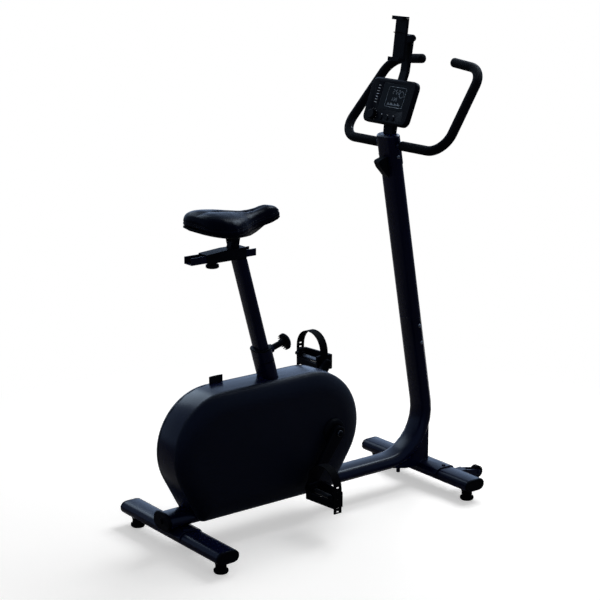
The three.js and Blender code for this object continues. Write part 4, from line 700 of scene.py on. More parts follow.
def rib_tree():
    """Ribs standing in a ring round an axis, such as the grip of a knob or the tread of a wheel."""
    tree, given, result = growing_tree(
        "Ring of Ribs", Count=20, Radius=0.02, Size=(0.002, 0.002, 0.01), Centre=ORIGIN, Turn=ORIGIN
    )
    ring = step(tree, "GeometryNodeMeshCircle", Vertices=given["Count"], Radius=given["Radius"])
    outward = facing_turn(tree, "X", tree.nodes.new("GeometryNodeInputPosition"))
    copies = scatter(tree, ring, ball(tree, 8, 8, 0.5), outward, given["Size"])
    turned = step(
        tree, "GeometryNodeTransform", Geometry=copies, Translation=given["Centre"], Rotation=given["Turn"]
    )
    return close_tree(tree, given, result, turned)


def screw_tree():
    """Button heads with a hexagon socket, one at each point, facing the way that the point says."""
    tree, given, result = growing_tree("Button Heads", Radius=0.005)
    button = step(tree, "GeometryNodeTransform", Geometry=ball(tree, 24, 12, 1.0), Scale=(1, 1, 0.5))
    socket = step(tree, "GeometryNodeMeshCylinder", Vertices=6, Radius=0.48, Depth=0.6)
    raised = step(tree, "GeometryNodeTransform", Geometry=socket, Translation=(0, 0, 0.45))
    head = maths(tree, "DIFFERENCE", button, raised, kind="GeometryNodeMeshBoolean", solver="FLOAT")
    facing = step(tree, "GeometryNodeInputNamedAttribute", {"data_type": "FLOAT_VECTOR"}, Name="facing")
    turn = facing_turn(tree, "Z", facing)
    size = step(tree, "ShaderNodeCombineXYZ", **dict.fromkeys("XYZ", given["Radius"]))
    heads = scatter(tree, given["Geometry"], head, turn, size)
    return close_tree(tree, given, result, heads)


def block_tree():
    """Small blocks at loose points: the pedal's teeth, and the marks and segments of the console."""
    tree, given, result = growing_tree("Blocks", Size=(0.002, 0.002, 0.002), Taper=0.6, Turn=ORIGIN)
    peg = step(
        tree, "GeometryNodeMeshCone", Vertices=4, Radius_Top=given["Taper"], Radius_Bottom=1.0, Depth=1.0
    )
    square = step(
        tree, "GeometryNodeTransform", Geometry=peg, Rotation=(0, 0, math.pi / 4),
        Scale=(math.sqrt(0.5), math.sqrt(0.5), 1),
    )
    turn = step(tree, "FunctionNodeEulerToRotation", Euler=given["Turn"])
    copies = scatter(tree, given["Geometry"], square, turn, given["Size"])
    return close_tree(tree, given, result, copies)


def grow(piece, tree, finish_name, body, slot, **values):
    """Runs a node tree on a piece once, keeps the mesh that it makes, and lets it ride on its body."""
    modifier = piece.modifiers.new(tree, "NODES")
    modifier.node_group = TREES[tree]
    values["Material"] = FINISHES[finish_name]
    for item in TREES[tree].interface.items_tree:
        if item.in_out == "INPUT" and item.name in values:
            modifier[item.identifier] = values[item.name]
    apply_modifiers(piece)
    if len(piece.data.polygons) == 0:
        raise RuntimeError(f"{piece.name} came out empty")
    piece.data.shade_smooth()
    return ride(piece, body)


def ribs(name, centre, axis, reach, count, radius, size, *made):
    """A ring of ribs at a distance along an axis from a centre."""
    return grow(
        raw(name, []), "ribs", *made, Count=count, Radius=radius, Size=size,
        Centre=tuple(centre + axis * reach), Turn=tuple(axis.to_track_quat("Z", "Y").to_euler()),
    )


def screws(name, spots, facing, radius, body, finish_name="bolt", slot="bare_steel"):
    return grow(places(name, spots, facing), "screws", finish_name, body, slot, Radius=radius)


def beads(name, paths, pitch, size, *made):
    return grow(wire(name, paths), "beads", *made, Pitch=pitch, Size=size)


def welt(name, paths, radius, *made, bend=0.0, sides=10):
    return grow(wire(name, paths), "cord", *made, Radius=radius, Bend=bend, Sides=sides)


def blocks(name, spots, size, turn, *made, taper=1.0):
    piece = grow(raw(name, spots), "blocks", *made, Size=size, Turn=turn, Taper=taper)
    smooth_by_angle(piece.data, 30)
    return piece


# ---------------- frame and base

PLATE_SIDE, PLATE_RISE, PLATE_MARGIN = 0.058, 0.0036, 0.02
MAST_FLANK, MAST_SCREW_RISES = 0.0398, (0.375, 0.43)
FOOT_RIBS, FOOT_RIB, FOOT_RIB_RISE, FOOT_RIB_INSET = 30, (0.0022, 0.0026, 0.009), 0.0065, 0.0006
WHEEL_RINGS, RING_SUNK = (0.0075, 0.0125), 0.0003


class BIKE_OT_frame(bpy.types.Operator):
    """Painted tubes, stabilizers and brackets, with their welds and screws"""

    bl_idname = "bike.dress_frame"
    bl_label = "Frame"

    def execute(self, context):
        trim = context.scene.bike_trim
        dress_all(
            "paint", "painted_steel", "main_frame", "front_mount", "upper_mast", "rear_stabilizer",
            "front_stabilizer", "seat_tube", "seat_post", "seat_rail", *both("wheel_bracket"),
        )
        ripple = (trim.bead_width, trim.bead_width * 0.8, trim.bead_pitch * 1.5)
        low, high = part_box("rear_stabilizer")
        shelf = [
            [(x, side * PLATE_SIDE, high.z + PLATE_RISE) for x in (low.x + PLATE_MARGIN, high.x - PLATE_MARGIN)]
            for side in (-1, 1)
        ]
        beads("rear_plate_weld", shelf, trim.bead_pitch, ripple, "paint", "frame", "painted_steel")
        spots = [on_mast(0, side * MAST_FLANK, rise) for rise in MAST_SCREW_RISES for side in (-1, 1)]
        facing = [-SIDEWAYS, SIDEWAYS] * len(MAST_SCREW_RISES)
        screws("mast_joint_screws", spots, facing, trim.screw_radius * 1.1, "frame")
        return {"FINISHED"}


class BIKE_OT_base_trim(bpy.types.Operator):
    """End caps, levelling feet and transport wheels"""

    bl_idname = "bike.dress_base_trim"
    bl_label = "Base trim"

    def execute(self, context):
        dress("beam_end_cap", "plastic", "black_plastic")
        for end in ("rear", "front"):
            dress_all("plastic", "black_plastic", *both(f"{end}_stabilizer_cap"))
            for node in both(f"{end}_foot"):
                dress(node, "rubber", "rubber")
                low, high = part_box(node)
                ribs(
                    f"{node}_grip", underside(node), UP, FOOT_RIB_RISE, FOOT_RIBS,
                    (high.x - low.x) / 2 - FOOT_RIB_INSET, FOOT_RIB, "rubber", body_of_node[node], "rubber",
                )
        for side, end in SIDES:
            node = f"transport_wheel_{end}"
            dress(node, "rubber", "rubber", smooth=28)
            low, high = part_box(node)
            flank = side * ((high.y - low.y) / 2 - RING_SUNK)
            rings = [
                [middle(node) + Vector((radius * c, flank, radius * s)) for c, s in arc(0, math.tau, 40)]
                for radius in WHEEL_RINGS
            ]
            welt(f"{node}_rings", rings, 0.0007, "rubber", body_of_node[node], "rubber", sides=8)
        return {"FINISHED"}


# ---------------- housing

FRONT_TAPER = math.radians(34)
REAR_TAPER = math.radians(28)
HOUSING_FOOT = 0.081
CORNER = 0.022
COVER_DEPTH = 0.072
DOME = 0.062
DOME_ROUNDS = 18
ARC_STEPS = 22
CRANK_HOLE = 0.014
RIM_GAP, WELT_INSET, WELT_SUNK = 0.0006, 0.0012, 0.0004
COVER_STITCH, STITCH_SHARE, STITCH_PROUD, STITCH_TURNS = 0.0009, 0.68, 0.0002, (0.27, 0.36)
TAG_X, TAG_GAP, TAG_CLOTH, TAG_LEAN, TAG_COLUMNS = 0.142, 0.0012, 0.0006, 0.0016, 13
TAG_SUNK, TAG_NEAR_END, TAG_FAR_END = 0.0004, 0.0006, 0.0004
TAG_RISES, TAG_FOLD = (0.2, 0.4, 0.6, 0.8, 0.94), (0.8, 1.57, 2.34)


def housing_outline(inset):
    """A closed loop round the housing's side, drawn in from its rim: corners below, large arcs above."""
    housing = bpy.context.scene.bike_housing
    big = housing.radius - inset
    reach = max(CORNER, inset + 0.001)
    small = reach - inset
    corner_z = HOUSING_FOOT + reach

    def corner_x(taper):
        fall = (corner_z - housing.centre_z) * math.sin(taper)
        return housing.half_span + (housing.radius - reach + fall) / math.cos(taper)

    quarter = math.pi / 2
    arcs = [
        (corner_x(FRONT_TAPER), corner_z, small, -quarter, -FRONT_TAPER),
        (housing.half_span, housing.centre_z, big, -FRONT_TAPER, quarter),
        (-housing.half_span, housing.centre_z, big, quarter, math.pi + REAR_TAPER),
        (-corner_x(REAR_TAPER), corner_z, small, math.pi + REAR_TAPER, 3 * quarter),
    ]
    return [
        (housing.centre_x + x + radius * c, z + radius * s)
        for x, z, radius, start, end in arcs for c, s in arc(start, end, ARC_STEPS)
    ]


def loop_at(inset, y, side):
    loop = [spot(x, side * y, z) for x, z in housing_outline(inset)]
    return loop + loop[:1]


def dome(turn, rim):
    """How far a cover's round edge is drawn in, and how far out it stands, at a turn of its quarter round."""
    return DOME * (1 - math.cos(turn)), rim + (COVER_DEPTH - rim) * math.sin(turn)


class BIKE_OT_housing(bpy.types.Operator):
    """Housing band, knitted side covers with their sewn edge, woven tag and crank discs"""

    bl_idname = "bike.dress_housing"
    bl_label = "Housing"

    def execute(self, context):
        housing = context.scene.bike_housing
        dress("housing_band", "satin", "satin_plastic", smooth=40)
        rim = housing.band_width / 2 + RIM_GAP
        stitch = (COVER_STITCH, COVER_STITCH, housing.stitch_pitch * STITCH_SHARE)
        for side, end in SIDES:
            node = f"housing_shell_{end}"
            self.cover(node, side, rim, housing.cover_wall)
            seam = [loop_at(WELT_INSET, rim - WELT_SUNK, side)]
            welt(f"{node}_welt", seam, housing.welt, "rubber", "frame", "satin_plastic")
            rows = [
                even(loop_at(inset - STITCH_PROUD, y, side), housing.stitch_pitch / 4)
                for inset, y in (dome(turn, rim) for turn in STITCH_TURNS)
            ]
            beads(f"{node}_stitches", rows, housing.stitch_pitch, stitch, "thread", "frame", "vinyl")
            dress(f"hub_cover_{end}", "plastic", "satin_plastic")
        self.tag(housing)
        return {"FINISHED"}

    @staticmethod
    def cover(node, side, rim, wall):
        """One side cover: the outline drawn in along a quarter round, a flat face, and the crank's hole."""
        form = bmesh.new()
        loops = []
        for i in range(DOME_ROUNDS + 1):
            inset, y = dome(math.pi / 2 * i / DOME_ROUNDS, rim)
            loops.append([form.verts.new(place) for place in loop_at(inset, y, side)[:-1]])
        bridge(form, loops)
        crank = middle("crank_axle")
        hole = [
            form.verts.new((crank.x + CRANK_HOLE * c, side * COVER_DEPTH, crank.z + CRANK_HOLE * s))
            for c, s in arc(0, math.tau, 40)[:-1]
        ]
        edges = [form.edges.new(pair) for pair in pairs(hole)]
        edges += [form.edges.get(pair) for pair in pairs(loops[-1])]
        bmesh.ops.triangle_fill(form, edges=edges, use_beauty=True, normal=(0, side, 0))
        bmesh.ops.recalc_face_normals(form, faces=form.faces)
        if sum(face.normal.y * face.calc_area() for face in form.faces) * side < 0:
            bmesh.ops.reverse_faces(form, faces=form.faces)
        piece = shaped(cast(f"{node}_cover", form), "SOLIDIFY", thickness=wall, offset=-1)
        smooth_by_angle(piece.data, 50)
        stand_for(node, piece, "fabric")

    @staticmethod
    def tag(housing):
        """A bare woven tag folded over the seam of the far cover."""
        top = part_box("housing_shell_left")[1].z
        height = housing.tag_height
        y = housing.band_width / 2 - TAG_SUNK
        profile = [(y - TAG_GAP, top + TAG_NEAR_END), *((y - TAG_GAP, top + height * t) for t in TAG_RISES)]
        profile += [
            (y - TAG_GAP * math.cos(turn), top + height * TAG_RISES[-1] + TAG_GAP * math.sin(turn))
            for turn in TAG_FOLD
        ]
        profile += [(y + TAG_GAP, top + height * t) for t in reversed(TAG_RISES)]
        profile.append((y + TAG_GAP, top - TAG_FAR_END))
        points = []
        for along in (i / (TAG_COLUMNS - 1) for i in range(TAG_COLUMNS)):
            for across, up in profile:
                lean = TAG_LEAN * math.sin(along * math.pi) * (up - top) / height
                points.append(spot(TAG_X + housing.tag_width * along, across + lean, up))
        rows = len(profile)
        corners = [i * rows + j for i in range(TAG_COLUMNS - 1) for j in range(rows - 1)]
        faces = [(first, first + 1, first + rows + 1, first + rows) for first in corners]
        piece = shaped(raw("woven_tag", points, (), faces), "SOLIDIFY", thickness=TAG_CLOTH, offset=0)
        smooth_by_angle(piece.data, 60)
        piece.data.materials.append(FINISHES["label"])
        ride(piece, "frame")


# ---------------- drive

SPINDLE_FROM = 0.116
CRANK_FACE = 0.1066
TREAD_HALF = 0.036
TREAD_ROWS = (-0.0165, 0.0235)
TREAD_FLOOR = 0.02
TOOTH_RAISED, TOOTH_WIDE, TOOTH_THICK, TOOTH_TAPER = 0.0008, 0.005, 0.0034, 0.55
OVERHEAD, CRANK_BOLT = 3.0, 0.0085


class BIKE_OT_drive(bpy.types.Operator):
    """Cranks, pedals with their treads, straps, belt and flywheel"""

    bl_idname = "bike.dress_drive"
    bl_label = "Drive"

    def execute(self, context):
        trim = context.scene.bike_trim
        dress("crank_axle", "bolt", "bare_steel")
        dress_all("steel", "bare_steel", "crank_bearing", "magnet_shoe")
        dress("drive_pulley", "plastic", "black_plastic")
        dress("drive_belt", "rubber", "rubber")
        dress("flywheel", "iron", "cast_iron")
        dress("flywheel_bracket", "paint", "painted_steel")
        for side, end in SIDES:
            arm = dress(f"crank_arm_{end}", "plastic", "satin_plastic")
            arm.data.materials.append(FINISHES["bolt"])
            for face in arm.data.polygons:
                if abs(face.center.y) > SPINDLE_FROM:
                    face.material_index = 1
            pedal = f"pedal_{end}"
            dress(pedal, "plastic", "black_plastic")
            dress(f"pedal_strap_{end}", "rubber", "rubber", edge=0.0005)
            tooth = (TOOTH_WIDE, TOOTH_THICK, trim.tooth_height)
            blocks(
                f"pedal_teeth_{end}", self.tread(pedal, trim.tooth_pitch), tooth, ORIGIN, "plastic",
                body_of_node[pedal], "black_plastic", taper=TOOTH_TAPER,
            )
            hub = middle("crank_axle") + SIDEWAYS * side * CRANK_FACE
            screws(f"crank_bolt_{end}", [hub], [SIDEWAYS * side], CRANK_BOLT, "crank", "plastic", "black_plastic")
        return {"FINISHED"}

    @staticmethod
    def tread(pedal, pitch):
        """Places for the teeth: dropped on the pedal in two rows, and kept where they land on its walls."""
        mesh = nodes[pedal].data
        tree = BVHTree.FromPolygons(
            [vertex.co for vertex in mesh.vertices], [tuple(face.vertices) for face in mesh.polygons]
        )
        centre, floor = middle(pedal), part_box(pedal)[0].z + TREAD_FLOOR
        spots = []
        for x in TREAD_ROWS:
            for y in np.arange(-TREAD_HALF, TREAD_HALF + 0.0001, pitch):
                hit = tree.ray_cast(Vector((centre.x + x, centre.y + y, OVERHEAD)), -UP)[0]
                if hit is not None and hit.z > floor:
                    spots.append(hit + UP * TOOTH_RAISED)
        return spots


# ---------------- seat

KNOB_FACE, KNOB_RIB, KNOB_RIB_RADIUS = Vector((-0.1032, 0, 0.5445)), (0.0026, 0.0034, 0.0125), 0.0232
SLIDER_RIB, SLIDER_RIB_RADIUS, SLIDER_RIBS = (0.0024, 0.0032, 0.0105), 0.0178, 16
COLLAR_RISE, COLLAR_HALF_LONG, COLLAR_HALF_SHORT = 0.424, 0.0372, 0.0212
PAD_SCALE = (0.995, 0.99)
HELD_RISE = 0.009
INFLATE_STEPS = 20
SEAM_RISE, SEAM_WIDTH, SEAM_PITCH = 0.017, 0.0021, 0.0012
STITCH_OFFSETS, STITCH_THICK = (-0.0028, 0.0028), 0.0006
PIPING_RISE, PIPING_RADIUS = 0.003, 0.0011
CHANNEL_DEPTH, CHANNEL_WIDTH, CHANNEL_WIDENS = 0.0036, 0.0075, 0.004
TAIL_INSET, NOSE_INSET = 0.075, 0.028
CHANNEL_STARTS, CHANNEL_ENDS = (0.1, 0.14), (0.86, 0.2)
TOP_NORMAL, TOP_FADE, UNDER_NORMAL = 0.5, 0.3, -0.5
RIM_ENDS, RIM_STATIONS, RIM_REACH, RIM_DEGREE = (0.012, 0.008), 24, 0.008, 4
TAIL_REACH, SIDE_REACH, RAY_START = 0.05, 0.02, 0.3
POINTS_AT_ONCE = 4000


def obround(half_long, half_short):
    """A closed loop round a tube's section: long side across the bike, short side along it."""
    loop = [
        (half_short * c, side * (half_long - half_short) + half_short * s)
        for side, start in ((1, 0.0), (-1, math.pi)) for c, s in arc(start, start + math.pi, 14)
    ]
    return loop + loop[:1]


class BIKE_OT_seat(bpy.types.Operator):
    """Seat bushing, knobs, slider and the padded saddle with its seams"""

    bl_idname = "bike.dress_seat"
    bl_label = "Seat"

    def execute(self, context):
        trim = context.scene.bike_trim
        dress_all(
            "plastic", "black_plastic", "seat_bushing", "seat_post_knob", "seat_slider", "seat_slider_knob",
            "saddle_base",
        )
        ribs(
            "seat_post_knob_ribs", KNOB_FACE, SEAT_AHEAD, -0.007, trim.knob_ribs, KNOB_RIB_RADIUS, KNOB_RIB,
            "plastic", "seat_post_knob", "black_plastic",
        )
        screws("seat_post_knob_cap", [KNOB_FACE - SEAT_AHEAD * 0.0006], [SEAT_AHEAD], 0.007, "seat_post_knob")
        ribs(
            "seat_slider_knob_ribs", underside("seat_slider_knob"), UP, 0.006, SLIDER_RIBS, SLIDER_RIB_RADIUS,
            SLIDER_RIB, "plastic", "seat_slider_knob", "black_plastic",
        )
        collar = [on_seat(a, y, COLLAR_RISE) for a, y in obround(COLLAR_HALF_LONG, COLLAR_HALF_SHORT)]
        welt("seat_tube_collar", [collar], 0.0008, "plastic", "frame", "black_plastic")
        self.saddle(context.scene.bike_saddle)
        return {"FINISHED"}

    def saddle(self, settings):
        pad = link("saddle_cushion", merged("saddle_pad"))
        low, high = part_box("saddle_pad")
        heart = (low + high) / 2
        for vertex in pad.data.vertices:
            vertex.co.x = heart.x + (vertex.co.x - heart.x) * PAD_SCALE[0]
            vertex.co.y *= PAD_SCALE[1]
        self.inflate(pad, settings, low.z)
        self.sew(pad, settings, low, high)
        pad.data.shade_smooth()
        pad.data.materials.clear()
        stand_for("saddle_pad", pad, "vinyl")

    @staticmethod
    def inflate(pad, settings, foot):
        """An even skin, blown up a little from inside while its underside is held."""
        shaped(pad, "REMESH", mode="VOXEL", voxel_size=settings.voxel)
        shaped(pad, "SMOOTH", factor=0.5, iterations=3)
        mesh = pad.data
        before = np.empty(3 * len(mesh.vertices))
        mesh.vertices.foreach_get("co", before)
        held = pad.vertex_groups.new(name="held")
        under = [v.index for v in mesh.vertices if v.co.z < foot + HELD_RISE or v.normal.z < UNDER_NORMAL]
        held.add(under, 1.0, "REPLACE")
        air = pad.modifiers.new("air", "CLOTH")
        air.settings.use_pressure = True
        air.settings.uniform_pressure_force = settings.pressure
        air.settings.effector_weights.gravity = 0
        air.settings.vertex_group_mass = "held"
        air.collision_settings.use_collision = False
        scene = bpy.context.scene
        for moment in range(1, INFLATE_STEPS + 1):
            scene.frame_set(moment)
        apply_modifiers(pad)
        scene.frame_set(1)
        mesh = pad.data
        after = np.empty_like(before)
        mesh.vertices.foreach_get("co", after)
        moved = (after - before).reshape(-1, 3)
        far = np.linalg.norm(moved, axis=1, keepdims=True)
        moved *= np.minimum(1.0, settings.swell / np.maximum(far, 1e-9))
        mesh.vertices.foreach_set("co", before + moved.ravel())
        shaped(pad, "SUBSURF", levels=2, render_levels=2)

    @staticmethod
    def sew(pad, settings, low, high):
        """Presses the seam and the middle channel into the skin, and lays the stitches and the piping on it."""
        mesh = pad.data
        skin = as_array(vertex.co for vertex in mesh.vertices)
        edge_x = np.linspace(low.x + RIM_ENDS[0], high.x - RIM_ENDS[1], RIM_STATIONS)
        rims = [skin[np.abs(skin[:, 0] - x) < RIM_REACH, 2].min() for x in edge_x]
        rim_of = np.polynomial.Polynomial.fit(edge_x, rims, RIM_DEGREE)

        def around(rise, proud):
            """A closed path round the saddle at a height over its lower edge."""
            tree = BVHTree.FromObject(pad, bpy.context.evaluated_depsgraph_get())
            tail, nose = low.x + TAIL_INSET, high.x - NOSE_INSET
            stations = [(tail, math.pi / 2 + math.pi * i / 36) for i in range(37)]
            stations += [(tail + (nose - tail) * i / 30, -math.pi / 2) for i in range(1, 30)]
            stations += [(nose, -math.pi / 2 + math.pi * i / 24) for i in range(25)]
            stations += [(nose + (tail - nose) * i / 30, math.pi / 2) for i in range(1, 30)]
            path = []
            for x, turn in stations:
                reach = TAIL_REACH if x == tail else SIDE_REACH
                here = float(rim_of(min(max(x + reach * math.cos(turn), edge_x[0]), edge_x[-1]))) + rise
                outward = Vector((math.cos(turn), math.sin(turn), 0))
                hit, normal = tree.ray_cast(Vector((x, 0, here)) + outward * RAY_START, -outward)[:2]
                if hit is not None:
                    path.append(hit + normal * proud)
            return path + path[:1]

        line = as_array(even(around(SEAM_RISE, 0.0), SEAM_PITCH))
        normals = as_array(vertex.normal for vertex in mesh.vertices)
        near = np.concatenate([
            np.sqrt(((block[:, None, :] - line[None, :, :]) ** 2).sum(axis=2)).min(axis=1)
            for block in np.array_split(skin, range(POINTS_AT_ONCE, len(skin), POINTS_AT_ONCE))
        ])
        press = settings.seam_depth * np.exp(-(near / SEAM_WIDTH) ** 2)
        along = (skin[:, 0] - low.x) / (high.x - low.x)
        (first, fade_in), (last, fade_out) = CHANNEL_STARTS, CHANNEL_ENDS
        fade = np.clip((along - first) / fade_in, 0, 1) * np.clip((last - along) / fade_out, 0, 1)
        top = np.clip((normals[:, 2] - TOP_NORMAL) / TOP_FADE, 0, 1)
        width = CHANNEL_WIDTH + CHANNEL_WIDENS * (1 - along)
        press += CHANNEL_DEPTH * fade * top * np.exp(-(skin[:, 1] / width) ** 2)
        skin -= normals * press[:, None]
        mesh.vertices.foreach_set("co", skin.ravel())
        mesh.update()
        rows = [even(around(SEAM_RISE + rise, 0.0001), settings.stitch_pitch / 4) for rise in STITCH_OFFSETS]
        size = (STITCH_THICK, STITCH_THICK, settings.stitch_length)
        beads("saddle_stitches", rows, settings.stitch_pitch, size, "thread", "saddle", "vinyl")
        welt("saddle_piping", [around(PIPING_RISE, 0.0002)], PIPING_RADIUS, "vinyl", "saddle", "vinyl")


# ---------------- handlebar

GRIP_SIDES = 32
GRIP_PITCH = 0.006
GRIP_ROLL, ROLL_NARROWS, ROLL_STEPS = 0.003, 0.12, (0.0, 0.5, 1.0)
TIP_OVER, TIP_DOME, TIP_STEPS = 0.004, 0.6, (0.0, 0.3, 0.55, 0.75, 0.9, 0.985)
BEND_STEPS = 20
CLAMP_SCREW_BACK, CLAMP_SCREW_SUNK = 0.004, 0.0004


class BIKE_OT_handlebar(bpy.types.Operator):
    """Handlebar, foam grips, clamp and lever"""

    bl_idname = "bike.dress_handlebar"
    bl_label = "Handlebar"

    def execute(self, context):
        dress("handlebar", "paint", "painted_steel", smooth=50)
        for side, end in SIDES:
            self.grip(f"handlebar_grip_{end}", side, context.scene.bike_bar)
        dress("bar_clamp", "paint", "satin_plastic")
        dress("clamp_lever", "plastic", "black_plastic")
        centre, flank = middle("bar_clamp"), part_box("bar_clamp")[1].y - CLAMP_SCREW_SUNK
        spots = [Vector((centre.x - CLAMP_SCREW_BACK, side * flank, centre.z)) for side in (1, -1)]
        screws("clamp_screws", spots, [SIDEWAYS, -SIDEWAYS], context.scene.bike_trim.screw_radius, "frame")
        return {"FINISHED"}

    @staticmethod
    def grip(node, side, bar):
        """A foam sleeve round half of the bar, with a rolled inner end and a domed tip."""
        line = bar_line(bar, side)
        along = (line[-1] - line[-2]).normalized()
        inner = (line[1] - line[0]).normalized()
        rim = bar.grip_radius
        start = [
            (line[0] + inner * GRIP_ROLL * (1 - math.sqrt(1 - k * k)), 1 - ROLL_NARROWS * (1 - k))
            for k in ROLL_STEPS
        ]
        tip = line[-1] + along * TIP_OVER
        end = [(tip + along * rim * TIP_DOME * k, math.sqrt(1 - k * k)) for k in TIP_STEPS]
        stations = [*start, *((place, 1.0) for place in even(line[1:], GRIP_PITCH)), *end]
        normal = Vector((math.cos(bar.tilt), 0, -math.sin(bar.tilt)))
        form = bmesh.new()
        loops = []
        for i, (place, wide) in enumerate(stations):
            ahead = (stations[min(i + 1, len(stations) - 1)][0] - stations[max(i - 1, 0)][0]).normalized()
            across = ahead.cross(normal).normalized()
            up = ahead.cross(across)
            loops.append([
                form.verts.new(place + (across * c + up * s) * rim * wide)
                for c, s in arc(0, math.tau, GRIP_SIDES)[:-1]
            ])
        bridge(form, loops)
        form.faces.new(loops[0])
        form.faces.new(loops[-1])
        bmesh.ops.recalc_face_normals(form, faces=form.faces)
        piece = cast(f"{node}_foam", form)
        smooth_by_angle(piece.data, 40)
        stand_for(node, piece, "foam")


def bar_line(bar, side):
    """One half of the handlebar's centre line, from its grip's inner end to its tip, bends rounded."""
    ahead = Vector((math.sin(bar.tilt), 0, math.cos(bar.tilt)))
    start = on_mast(bar.ahead, 0, bar.height)
    flat = [
        Vector((bar.grip_start, 0.0)), Vector((bar.half_width, 0.0)), Vector((bar.top_half_width, bar.reach)),
        Vector((bar.tip_y, bar.reach + bar.tip_rise)),
    ]
    line = [flat[0]]
    for before, corner, after, radius in zip(flat, flat[1:], flat[2:], (bar.lower_bend, bar.upper_bend)):
        inward, outward = (before - corner).normalized(), (after - corner).normalized()
        half = inward.angle(outward) / 2
        cut = radius / math.tan(half)
        centre = corner + (inward + outward).normalized() * radius / math.sin(half)
        first, last = corner + inward * cut - centre, corner + outward * cut - centre
        sweep = first.angle_signed(last)
        turns = (Matrix.Rotation(-sweep * i / BEND_STEPS, 2) for i in range(BEND_STEPS + 1))
        line += [centre + turn @ first for turn in turns]
    line.append(flat[3])
    return [start + SIDEWAYS * side * place.x + ahead * place.y for place in line]


# ---------------- console

DIGIT_BARS = {0: "abcdef", 1: "bc", 2: "abged", 3: "abgcd", 5: "afgcd", 8: "abcdefg"}
BAR_PLACES = {
    "a": (0, 1), "g": (0, 0), "d": (0, -1), "f": (0.5, 0.5), "b": (-0.5, 0.5), "e": (0.5, -0.5), "c": (-0.5, -0.5),
}
FIGURE_ROWS = ((0.098, 0.006, (2, 5, 0)), (0.076, 0.0045, (1, 3, 8)))
FIGURES_Y, FIGURE_STEP, BAR_SPREAD = -0.01, 2.1, 1.1
RING_Y, RING_RISE, RING_RADIUS, RING_MARKS = -0.046, 0.092, 0.0095, 22
GRAPH_Y, GRAPH_RISE, GRAPH_COLUMN, GRAPH_ROW = 0.006, 0.058, 0.0042, 0.0012
GRAPH_HEIGHTS = [1 + (i * 5) % 7 for i in range(14)]
WINDOW_Y, WINDOW_RISE = (0.014, -0.062), (0.052, 0.112)
DIAL_Y, DIAL_RISE, DIAL_SCALE = 0.055, 0.022, 0.0182
KEY_Y, KEY_MARK_RISE = (-0.038, -0.012, 0.014), 0.0275
COLUMN_Y, COLUMN_RISES = 0.058, [0.06 + 0.0085 * i for i in range(7)]
DRAWN, PRINTED = 0.0003, 0.0002
FLAT_BAR, UPRIGHT_BAR = (0.0036, 0.0009, DRAWN), (0.0009, 0.0042, DRAWN)
RING_MARK, GRAPH_MARK = (0.0014, 0.0014, DRAWN), (0.003, 0.0008, DRAWN)
COLUMN_MARK, KEY_MARK, SCALE_MARK = (0.009, 0.0011, PRINTED), (0.0055, 0.0011, PRINTED), (0.0012, 0.0012, PRINTED)
SCALE_TURNS = [math.radians(-135 + 30 * i) for i in range(10)]
DIAL_RIBS, DIAL_RIB_RADIUS, DIAL_RIB = 28, 0.0146, (0.0014, 0.0018, 0.0085)
JAW_PAD_IN, JAW_PAD_UP, JAW_PAD_ENDS, JAW_PAD_PITCH = 0.006, 0.004, (-0.02, 0.02), 0.003
JAW_PAD_RIB = (0.0035, 0.0035, 0.0024)


def front_of(node, y=0.0, rise=0.0):
    """How far a node's front stands out from a place on the console's face."""
    reference = on_face(0, y, rise)
    return max((vertex.co - reference).dot(FACE_OUT) for vertex in nodes[node].data.vertices)


